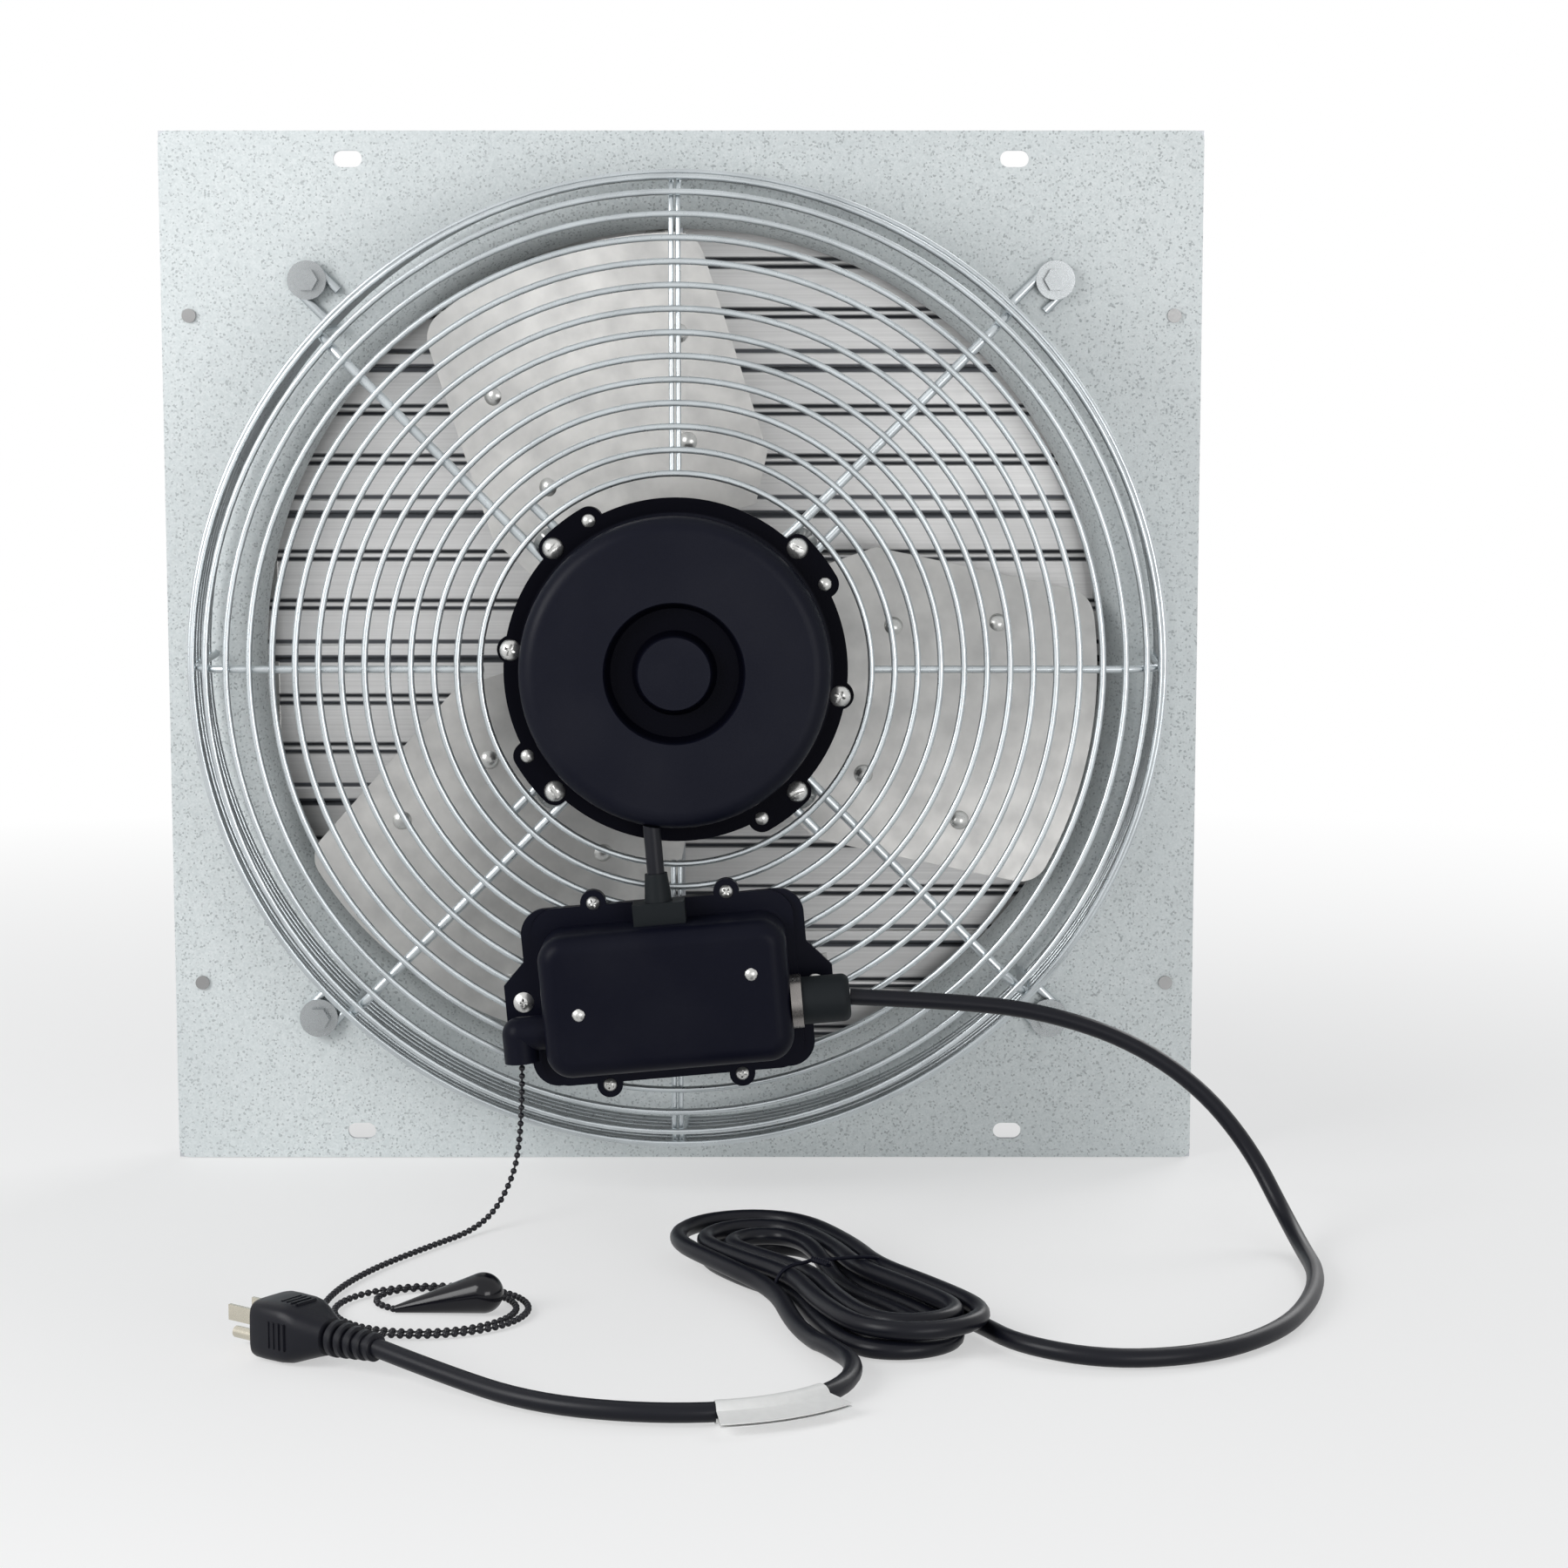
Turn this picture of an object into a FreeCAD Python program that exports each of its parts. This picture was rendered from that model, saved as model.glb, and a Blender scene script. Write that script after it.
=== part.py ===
import FreeCAD, Part
import math
import os

# Shutter exhaust fan: a square galvanised panel carries a wire guard, the guard carries the motor and
# the switch box, and a gravity shutter is riveted behind the panel. +Z is up, the motor side faces -Y,
# the shutter faces +Y, and the origin is the centre of the wall slots on the face that meets the wall.
# Lengths are in millimetres and angles in degrees.

Vec = FreeCAD.Vector

# Panel and its bell mouth
panel_side = 508.0
panel_gauge = 1.2
panel_corner = 5.0
bell_radius = 18.0
bell_margin = 0.5
throat_lip = 1.0

# Shutter frame of four mitred rails
frame_gauge = 1.5
wall_flange = 26.0
box_depth = 40.0
hem_width = 7.0
hem_gauge = 0.9
seam_radius = 1.2

# Wall slots, and the blind rivets that join the panel to the frame
slot_spacing_x = 324.0
slot_inset = 13.5
slot_length = 14.0
slot_width = 8.0
flange_rivet_inset = 13.5
flange_rivet_spacing_z = 330.0
flange_rivet_radius = 2.4
flange_rivet_head_radius = 5.5
flange_rivet_head_height = 1.4
flange_rivet_head_edge = 0.5
flange_rivet_crown_radius = 3.6
flange_rivet_tail_radius = 3.4

# Louvers
louver_count = 6
louver_gauge = 0.9
louver_header = 11.5
louver_footer = 3.5
louver_gap = 3.0
louver_side_gap = 2.5
louver_bend = 3.0
louver_return = 5.0
louver_lip = 5.0
louver_hem = 3.0
louver_notch = 12.0
rib_share_high = 0.31
rib_share_low = 0.65
rib_half_width = 3.2
rib_height = 2.2
rib_thinning = 0.6
pivot_drop = 11.5
pivot_setback = 8.0
pivot_radius = 2.5
pivot_head_radius = 5.0
pivot_head_height = 2.2
pivot_reach = 7.5
louver_rivet_high = 7.0
louver_rivet_low = 38.0
louver_rivet_radius = 1.6
louver_rivet_head = 3.2
louver_rivet_dome = 1.5
louver_rivet_tail = 1.0

# Louver brackets and tie bar
bracket_gauge = 1.5
bracket_width = 18.0
bracket_top = 3.4
bracket_bottom = 44.0
ear_radius = 5.0
arm_length = 28.3
arm_rise_angle = 1.0
arm_half_width = 3.2
tie_pin_radius = 1.6
tie_pin_head = 3.0
tie_pin_head_height = 1.0
tie_bar_width = 8.0
tie_bar_gauge = 1.5
stop_gauge = 1.2
stop_overlap = 6.0
stop_gap = 1.2

# Running clearances, seats, and how far a hole's cut runs past its faces
shaft_clearance = 0.05
side_clearance = 0.3
rivet_seat = 0.05
hole_overrun = 5.0

# Wire guard
guard_depth = 104.0
guard_foot = 8.0
guard_taper = 6.0
guard_shoulder = 22.0
guard_foot_margin = 7.0
guard_margin = 3.0
ring_wire = 1.5
ring_count = 22
weld_sink = 0.2
brace_wire = 2.2
brace_loop = 7.0
brace_stub = 14.0
brace_inner_stub = 22.0
brace_foot_bend = 9.0
single_wire = 1.7
double_wire = 1.2
double_spread = 1.6
guard_bolt_reach = 24.4
guard_bolt_radius = 3.0
guard_washer_radius = 9.5
guard_washer_gauge = 1.5
bolt_head_across = 10.0
bolt_head_height = 4.0
nut_height = 5.0
bolt_run_out = 1.0

# Motor
case_radius = 71.5
case_wall = 3.0
case_round = 8.0
motor_rise = 22.0
motor_length = 75.0
flange_margin = 8.0
flange_gauge = 4.0
motor_ear = 6.5
recess_radius = 32.5
recess_depth = 8.0
recess_draft = 3.0
boss_radius = 16.5
front_case_step = 5.5
shaft_radius = 6.0
shaft_hole_margin = 2.0
bearing_radius = 11.0
bearing_length = 6.6
rotor_radius = 34.5
air_gap = 0.5
core_length = 30.0
core_setback = 14.0
winding_length = 8.0
guard_screw_radius = 2.5
screw_head_radius = 5.0
screw_head_height = 3.2
case_bolt_radius = 2.0
case_bolt_head = 3.2
case_head_share = 0.55
guard_screw_angles = (45.0, 135.0, 225.0, 315.0)
case_bolt_angles = (30.0, 120.0, 210.0, 300.0)
case_screw_angles = (173.0, 351.0)

# Fan hub and blades
blade_count = 3
first_blade_angle = 108.0
tip_clearance = 5.0
blade_half_chord = 71.0
blade_root = 60.0
blade_root_half = 58.0
blade_root_shoulder = 82.0
blade_gauge = 1.6
blade_camber = 6.0
blade_half_rise = 21.0
blade_mid_depth = 25.3
blade_corner = 14.0
hub_radius = 16.0
hub_front = 10.0
hub_rear = 47.0
arm_gauge = 2.5
arm_rim = 10.0
arm_root_half = 12.0
arm_root = 8.5
blade_rivet_radius = 2.4
blade_rivet_head = 4.6
blade_rivet_dome = 2.4
blade_rivet_places = ((36.0, 98.0), (-36.0, 98.0), (48.0, 148.0), (-48.0, 148.0))
set_screw_radius = 2.5
set_screw_inset = 1.0

# Switch box, tilted on the guard
switch_box_x = -4.0
switch_box_z = -148.0
switch_box_tilt = 5.0
box_base_gauge = 3.0
box_base_half_x = 66.0
box_flange_half_x = 61.0
box_flange_half_z = 42.0
box_flange_gauge = 2.5
box_body_half_x = 57.0
box_body_half_z = 33.0
box_body_rise = 36.0
box_body_corner = 12.0
box_body_edge = 8.0
box_wall = 2.2
box_lug_x = 31.0
box_lug_z = 43.0
box_lug_radius = 6.0
box_ear_x = 67.0
box_ear_radius = 8.5
box_screw_radius = 1.8
box_screw_head = 3.2
box_screw_head_height = 2.0
ear_screw_head = 4.8
clamp_gauge = 2.0
clamp_length = 26.0
clamp_width = 13.0
cover_rivet_radius = 2.9
cover_rivet_height = 1.3
cover_rivet_places = ((-40.0, -3.0), (40.0, 9.0))

# Gland, strain relief and pull switch
gland_depth = 20.0
gland_z = -8.0
gland_thread_radius = 8.0
gland_locknut_radius = 12.5
gland_locknut_length = 5.0
gland_nut_radius = 11.0
gland_nut_length = 22.0
gland_nut_round = 3.6
gland_grip = 2.0
lead_depth = 14.0
lead_radius = 4.0
relief_width = 24.0
relief_deep = 15.0
relief_foot = 10.0
relief_taper = 13.0
relief_low_wall = 2.4
relief_high_wall = 1.2
nose_depth = 16.0
nose_z = -13.0
nose_radius = 8.0
nose_reach = 12.5
nose_drop = 13.0
nose_bore = 2.8
actuator_radius = 2.4
actuator_length = 12.0
switch_block = (30.0, 22.0, 24.0)
capacitor_radius = 12.0
capacitor_length = 46.0

# Power cord, its hank and plug
cord_radius = 3.8
cord_lead_in = 34.0
tail_lead_out = 32.0
hank_x = 70.0
hank_front = 270.0
hank_angle = 65.0
hank_turns = 2
hank_half_length = 62.0
hank_half_width = 31.0
hank_waist = 9.5
hank_step = 8.8
hank_layer = 8.2
hank_drop = (0.8, 0.3, 0.0)
tie_gauge = 1.2
tie_width = 5.0
plug_x = -108.0
plug_front = 374.5
plug_angle = 143.0
plug_length = 34.0
plug_width = 26.0
plug_height = 24.0
plug_round = 5.0
relief_length = 24.0
relief_end_radius = 5.2
relief_body_radius = 7.3
prong_length = 17.0
prong_width = 6.3
prong_gauge = 1.5
prong_spacing = 12.7
ground_pin_radius = 2.4
ground_pin_length = 20.0
ground_pin_drop = 7.0

# Pull chain and its knob
chain_radius = 1.5
coil_x = -98.0
coil_front = 283.0
coil_half_x = 44.0
coil_half_y = 40.0
coil_step = 5.0
coil_quarters = 7
knob_inset = 14.0
knob_length = 46.0
knob_radius = 8.5

# Places worked out from the sizes above
panel_back = -frame_gauge
panel_face = panel_back - panel_gauge
floor_z = -panel_side / 2
slot_spacing_z = panel_side - 2 * slot_inset
flange_rivet_spacing_x = panel_side - 2 * flange_rivet_inset
box_side = panel_side - 2 * wall_flange
box_inner = box_side / 2 - frame_gauge
throat_radius = box_inner - bell_margin - bell_radius
louver_top = box_inner - louver_header
louver_pitch = (2 * box_inner - louver_header - louver_footer) / louver_count
louver_drop = louver_pitch - louver_gap
louver_front = box_depth
pivot_y = louver_front - pivot_setback
louver_half = box_inner - louver_side_gap
blade_radius = throat_radius - tip_clearance
guard_base_radius = throat_radius + bell_radius + guard_foot_margin
guard_bolt_spacing = math.sqrt(2) * (guard_base_radius + guard_bolt_reach)
brace_depth = guard_depth - ring_wire - brace_wire + weld_sink
flange_radius = case_radius + flange_margin
ear_circle = flange_radius
case_screw_circle = case_radius + screw_head_radius + side_clearance
front_case_radius = case_radius - front_case_step
flange_low = brace_depth + brace_wire
flange_high = flange_low + flange_gauge
motor_rear = flange_high + motor_rise
motor_front = motor_rear - motor_length
core_low = motor_front + core_setback
core_high = core_low + core_length
ring_inner_radius = ear_circle + motor_ear + ring_wire + guard_margin
box_seat = guard_depth + ring_wire + side_clearance
box_flange_low = box_seat + box_base_gauge
box_body_low = box_flange_low + box_flange_gauge
box_top = box_flange_low + box_body_rise


# Basic shapes

def depth(value):
    """World y of a distance in front of the panel's motor side."""
    return panel_face - value


def block(x0, x1, y0, y1, z0, z1):
    return Part.makeBox(x1 - x0, y1 - y0, z1 - z0, Vec(x0, y0, z0))


def rod(start, end, radius):
    return Part.makeCylinder(radius, (end - start).Length, start, end - start)


def disc(x, z, radius, y0, y1):
    """Cylinder along Y between two values of y."""
    low = min(y0, y1)
    return Part.makeCylinder(radius, abs(y1 - y0), Vec(x, low, z), Vec(0, 1, 0))


def dome(x, z, radius, height, y, side):
    """Low domed head that rises from the plane y towards side (1 or -1) along Y."""
    sphere_radius = (radius ** 2 + height ** 2) / (2 * height)
    centre = Vec(x, y + side * (height - sphere_radius), z)
    ball = Part.makeSphere(sphere_radius, centre)
    return ball.common(disc(x, z, radius * 1.5, y, y + side * height * 1.5))


def hexagon(x, z, across, y0, y1):
    """Hexagonal prism along Y."""
    radius = across / math.sqrt(3)
    low = min(y0, y1)
    points = []
    for corner in range(7):
        angle = math.radians(60 * corner)
        points.append(Vec(x + radius * math.cos(angle), low, z + radius * math.sin(angle)))
    face = Part.Face(Part.makePolygon(points))
    return face.extrude(Vec(0, abs(y1 - y0), 0))


def prism_x(points, x0, x1):
    """Extrude an outline of (y, z) points along X."""
    corners = [Vec(x0, y, z) for y, z in points]
    face = Part.Face(Part.makePolygon(corners + corners[:1]))
    return face.extrude(Vec(x1 - x0, 0, 0))


def prism_y(points, y0, y1):
    """Extrude an outline of (x, z) points along Y."""
    corners = [Vec(x, y0, z) for x, z in points]
    face = Part.Face(Part.makePolygon(corners + corners[:1]))
    return face.extrude(Vec(0, y1 - y0, 0))


def polar(radius, angle):
    """(x, z) of a point on a circle about the fan axis, as seen from the motor side."""
    return radius * math.cos(math.radians(angle)), radius * math.sin(math.radians(angle))


def spun(shape, angle):
    """Turn a shape about the fan axis, anticlockwise as seen from the motor side."""
    return shape.rotated(Vec(0, 0, 0), Vec(0, 1, 0), -angle)


def joined(shapes):
    whole = shapes[0].fuse(shapes[1:])
    return whole.removeSplitter()


def cut_all(shape, tools):
    for tool in tools:
        shape = shape.cut(tool)
    return shape


def corner_places(spacing_x, spacing_z):
    places = []
    for side_x in (-1, 1):
        for side_z in (-1, 1):
            places.append((side_x * spacing_x / 2, side_z * spacing_z / 2))
    return places


# Wires and tubes

def arc_from_tangent(start, tangent, end):
    """Arc or line that leaves start along tangent and passes through end."""
    chord = end - start
    half = chord.Length / 2
    along = Vec(chord)
    along.normalize()
    side = tangent - along * tangent.dot(along)
    if side.Length < 1e-6:
        return Part.LineSegment(start, end).toShape()
    angle = math.atan2(side.Length, tangent.dot(along))
    side.normalize()
    middle = (start + end) * 0.5 + side * (half * math.tan(angle / 2))
    return Part.Arc(start, middle, end).toShape()


def biarc(start, start_tangent, end, end_tangent):
    """Two arcs that join two points smoothly."""
    span = end - start
    both = start_tangent + end_tangent
    straight = span.dot(both)
    bend = 2 * (1 - start_tangent.dot(end_tangent))
    if bend < 1e-9:
        reach = span.dot(span) / (2 * straight)
    else:
        reach = (-straight + math.sqrt(straight ** 2 + bend * span.dot(span))) / bend
    leave = start + start_tangent * reach
    arrive = end - end_tangent * reach
    middle = (leave + arrive) * 0.5
    tangent = arrive - leave
    tangent.normalize()
    first = arc_from_tangent(start, start_tangent, middle)
    second = arc_from_tangent(middle, tangent, end)
    return [first, second]


def fillet_radius(before, corner, after):
    """Largest even bend at a corner of a cord: 0.45 of the shorter run sets its tangent length."""
    into = corner - before
    out = after - corner
    half_turn = into.getAngle(out) / 2
    return 0.45 * min(into.Length, out.Length) / math.tan(half_turn)


def rounded_edges(points, radii):
    """Straight runs joined by tangent arcs, one radius for each inner point."""
    edges = []
    start = points[0]
    for index in range(1, len(points) - 1):
        corner = points[index]
        into = corner - points[index - 1]
        out = points[index + 1] - corner
        half_turn = into.getAngle(out) / 2
        into.normalize()
        out.normalize()
        reach = radii[index - 1] * math.tan(half_turn)
        bend_start = corner - into * reach
        bend_end = corner + out * reach
        if (bend_start - start).Length > 1e-6:
            edges.append(Part.LineSegment(start, bend_start).toShape())
        edges.append(arc_from_tangent(bend_start, into, bend_end))
        start = bend_end
    edges.append(Part.LineSegment(start, points[-1]).toShape())
    return edges


def tube(edges, radius):
    """Round tube swept along joined edges."""
    path = Part.Wire(edges)
    first = edges[0]
    start = first.valueAt(first.FirstParameter)
    tangent = first.tangentAt(first.FirstParameter)
    section = Part.Wire([Part.makeCircle(radius, start, tangent)])
    return path.makePipeShell([section], True, False)


def cord_tube(name, points, radius):
    """Tube of a free stretch of cord. Prints its bends, and its volume beside section times length."""
    radii = []
    for index in range(1, len(points) - 1):
        radii.append(fillet_radius(points[index - 1], points[index], points[index + 1]))
    edges = rounded_edges(points, radii)
    length = sum(edge.Length for edge in edges)
    shape = tube(edges, radius)
    print(name, "length", round(length), "bends", [round(value) for value in radii])
    print(name, "volume", round(shape.Volume), "section times length", round(math.pi * radius ** 2 * length))
    return shape


def self_gap(name, edges, radius):
    """Print the least gap between turns of a wound tube, measured on points along it."""
    gap_skip = 8
    points = []
    travelled = []
    run = 0.0
    for edge in edges:
        count = max(2, int(edge.Length / 2.0))
        for point in edge.discretize(count + 1)[:-1]:
            points.append(point)
        for step in range(count):
            travelled.append(run + edge.Length * step / count)
        run += edge.Length
    least = None
    for first in range(len(points)):
        for second in range(first + 1, len(points)):
            if travelled[second] - travelled[first] > gap_skip * radius:
                distance = (points[second] - points[first]).Length
                if least is None or distance < least:
                    least = distance
    print(name, "length", round(run), "least gap to itself", round(least - 2 * radius, 2))


# Panel

def make_panel():
    half = panel_side / 2
    plate = block(-half, half, panel_face, panel_back, -half, half)
    upright = [edge for edge in plate.Edges if abs(edge.tangentAt(edge.FirstParameter).y) > 0.9]
    plate = plate.makeFillet(panel_corner, upright)
    plate = plate.cut(disc(0, 0, throat_radius + bell_radius, panel_face, panel_back))
    centre_r = throat_radius + bell_radius
    centre_y = panel_face + bell_radius
    quarter = math.sqrt(0.5)
    outer = bell_radius
    inner = bell_radius - panel_gauge
    end_y = centre_y + throat_lip
    edges = []
    air_start = Vec(centre_r, panel_face, 0)
    air_middle = Vec(centre_r - outer * quarter, centre_y - outer * quarter, 0)
    air_end = Vec(throat_radius, centre_y, 0)
    back_start = Vec(centre_r, panel_back, 0)
    back_middle = Vec(centre_r - inner * quarter, centre_y - inner * quarter, 0)
    back_end = Vec(throat_radius + panel_gauge, centre_y, 0)
    edges.append(Part.Arc(air_start, air_middle, air_end).toShape())
    edges.append(Part.LineSegment(air_end, Vec(throat_radius, end_y, 0)).toShape())
    edges.append(Part.LineSegment(Vec(throat_radius, end_y, 0),
                                  Vec(throat_radius + panel_gauge, end_y, 0)).toShape())
    edges.append(Part.LineSegment(Vec(throat_radius + panel_gauge, end_y, 0), back_end).toShape())
    edges.append(Part.Arc(back_end, back_middle, back_start).toShape())
    edges.append(Part.LineSegment(back_start, air_start).toShape())
    bell = Part.Face(Part.Wire(edges)).revolve(Vec(0, 0, 0), Vec(0, 1, 0), 360)
    plate = joined([plate, bell])
    holes = wall_slots(panel_face, panel_back)
    for x, z in corner_places(flange_rivet_spacing_x, flange_rivet_spacing_z):
        holes.append(disc(x, z, flange_rivet_radius, panel_face, panel_back))
    for x, z in corner_places(guard_bolt_spacing, guard_bolt_spacing):
        holes.append(disc(x, z, guard_bolt_radius, panel_face, panel_back))
    return cut_all(plate, holes)


def wall_slots(y0, y1):
    slots = []
    reach = (slot_length - slot_width) / 2
    radius = slot_width / 2
    for x, z in corner_places(slot_spacing_x, slot_spacing_z):
        middle = block(x - reach, x + reach, y0, y1, z - radius, z + radius)
        ends = [disc(x - reach, z, radius, y0, y1), disc(x + reach, z, radius, y0, y1)]
        slots.append(joined([middle] + ends))
    return slots


# Shutter frame

def square_ring(outer, inner, y0, y1):
    ring = block(-outer, outer, y0, y1, -outer, outer)
    return ring.cut(block(-inner, inner, y0 - hole_overrun, y1 + hole_overrun, -inner, inner))


def make_frame():
    """The four rails, as one mitred frame cut at its corners."""
    outer = box_side / 2
    flange = square_ring(panel_side / 2, box_inner, panel_back, 0)
    wall = square_ring(outer, box_inner, panel_back, box_depth)
    hem = square_ring(outer + hem_gauge, box_inner, box_depth - hem_width, box_depth)
    whole = joined([flange, wall, hem])
    holes = wall_slots(panel_back, 0)
    for x, z in corner_places(flange_rivet_spacing_x, flange_rivet_spacing_z):
        holes.append(disc(x, z, flange_rivet_radius, panel_back, 0))
    for index in range(louver_count):
        z = pivot_z(index)
        holes.append(rod(Vec(-panel_side, pivot_y, z), Vec(panel_side, pivot_y, z), pivot_radius))
    whole = cut_all(whole, holes)
    wedge = prism_y([(0, 0), (-panel_side, panel_side), (panel_side, panel_side)],
                    panel_back - hole_overrun, box_depth + hole_overrun)
    rails = {}
    for name, angle in (("top", 0), ("left", 90), ("bottom", 180), ("right", 270)):
        rails["shutter_frame_" + name] = whole.common(spun(wedge, angle))
    return rails


def make_corner_welds():
    welds = []
    start = box_side / 2 + seam_radius
    end = panel_side / 2 - seam_radius
    for side_x in (-1, 1):
        for side_z in (-1, 1):
            inner = Vec(side_x * start, 0, side_z * start)
            bead = rod(inner, Vec(side_x * end, 0, side_z * end), seam_radius)
            keep = block(-panel_side, panel_side, 0, 2 * seam_radius, -panel_side, panel_side)
            welds.append(bead.common(keep))
    return welds


def make_flange_rivets():
    rivets = []
    for x, z in corner_places(flange_rivet_spacing_x, flange_rivet_spacing_z):
        shank = disc(x, z, flange_rivet_radius, panel_face, 0)
        head = disc(x, z, flange_rivet_head_radius, 0, flange_rivet_head_edge)
        crown = Part.makeCone(flange_rivet_head_radius, flange_rivet_crown_radius,
                              flange_rivet_head_height - flange_rivet_head_edge,
                              Vec(x, flange_rivet_head_edge, z), Vec(0, 1, 0))
        tail = disc(x, z, flange_rivet_tail_radius, panel_face - flange_rivet_head_height, panel_face)
        rivets.append(joined([shank, head, crown, tail]))
    return rivets


def make_stops():
    """Strips that close the gap above the first louver and behind the last one."""
    half = box_inner
    front = louver_front - louver_return + stop_gap
    high = block(-half, half, front, front + stop_gauge, louver_top + louver_hem, half)
    last_bottom = louver_top - (louver_count - 1) * louver_pitch - louver_drop
    back = louver_front - louver_hem - louver_gauge - stop_gap
    low = block(-half, half, back - stop_gauge, back, -half, last_bottom + stop_overlap)
    return [high, low]


# Louvers

def pivot_z(index):
    return louver_top - pivot_drop - index * louver_pitch


def louver_outline(gauge_in):
    """Edges of one side of a louver's section, top to bottom, in the plane x = 0 about its pivot."""
    top = pivot_drop - gauge_in
    y = pivot_setback - gauge_in
    bottom = pivot_drop - louver_drop
    rib_half = rib_half_width - rib_thinning * gauge_in
    bend = louver_bend - gauge_in
    hem_bend = louver_hem - gauge_in
    quarter = math.sqrt(0.5)
    edges = []
    lip_y = pivot_setback - louver_return + (louver_gauge - gauge_in)
    cursor = Vec(0, lip_y, pivot_drop + louver_lip)
    edges.append(Part.LineSegment(cursor, Vec(0, lip_y, top)).toShape())
    bend_start = Vec(0, y - bend, top)
    if (Vec(0, lip_y, top) - bend_start).Length > 1e-6:
        edges.append(Part.LineSegment(Vec(0, lip_y, top), bend_start).toShape())
    bend_middle = Vec(0, y - bend + bend * quarter, top - bend + bend * quarter)
    cursor = Vec(0, y, top - bend)
    edges.append(Part.Arc(bend_start, bend_middle, cursor).toShape())
    for share in (rib_share_high, rib_share_low):
        centre = pivot_drop - share * louver_pitch
        rib_top = Vec(0, y, centre + rib_half)
        rib_peak = Vec(0, y + rib_height, centre)
        rib_end = Vec(0, y, centre - rib_half)
        edges.append(Part.LineSegment(cursor, rib_top).toShape())
        edges.append(Part.Arc(rib_top, rib_peak, rib_end).toShape())
        cursor = rib_end
    hem_start = Vec(0, y, bottom + louver_hem)
    hem_middle = Vec(0, y - hem_bend + hem_bend * quarter, bottom + louver_hem - hem_bend * quarter)
    hem_end = Vec(0, y - hem_bend, bottom + louver_hem - hem_bend)
    edges.append(Part.LineSegment(cursor, hem_start).toShape())
    edges.append(Part.Arc(hem_start, hem_middle, hem_end).toShape())
    return edges


def make_louver():
    """Louver plate about its pivot: lip, rounded top, two ribs and a bottom hem."""
    front = louver_outline(0.0)
    back = louver_outline(louver_gauge)
    front_wire = Part.Wire(front)
    back_wire = Part.Wire(back)
    front_ends = (front[0].Vertexes[0].Point, front[-1].Vertexes[-1].Point)
    back_ends = (back[0].Vertexes[0].Point, back[-1].Vertexes[-1].Point)
    top_edge = Part.LineSegment(front_ends[0], back_ends[0]).toShape()
    low_edge = Part.LineSegment(front_ends[1], back_ends[1]).toShape()
    outline = Part.Wire(Part.__sortEdges__(front_wire.Edges + back_wire.Edges + [top_edge, low_edge]))
    plate = Part.Face(outline).extrude(Vec(2 * louver_half, 0, 0))
    plate.translate(Vec(-louver_half, 0, 0))
    notch = block(-louver_notch / 2, louver_notch / 2, -pivot_setback, pivot_setback - louver_bend,
                  pivot_drop - louver_bend, pivot_drop + 2 * louver_lip)
    return plate.cut(notch)


def louver_rivet_places():
    places = []
    end = louver_half - bracket_width / 2
    for x in (-end, bracket_offset(), end):
        for drop in (louver_rivet_high, louver_rivet_low):
            places.append((x, pivot_drop - drop))
    return places


def bracket_offset():
    """Middle of the centre bracket's foot, which stands beside the tie bar."""
    return arm_inner_x() - bracket_width / 2


def arm_inner_x():
    """Face of the centre arm that looks at the tie bar."""
    return -tie_bar_gauge / 2 - side_clearance


def make_bracket_foot(x0, x1):
    back = pivot_setback - louver_gauge
    return block(x0, x1, back - bracket_gauge, back, pivot_drop - bracket_bottom, pivot_drop - bracket_top)


def tie_pin_place():
    """(y, z) of a louver's tie pin about its pivot."""
    angle = math.radians(arm_rise_angle)
    return -arm_length * math.cos(angle), arm_length * math.sin(angle)


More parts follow.
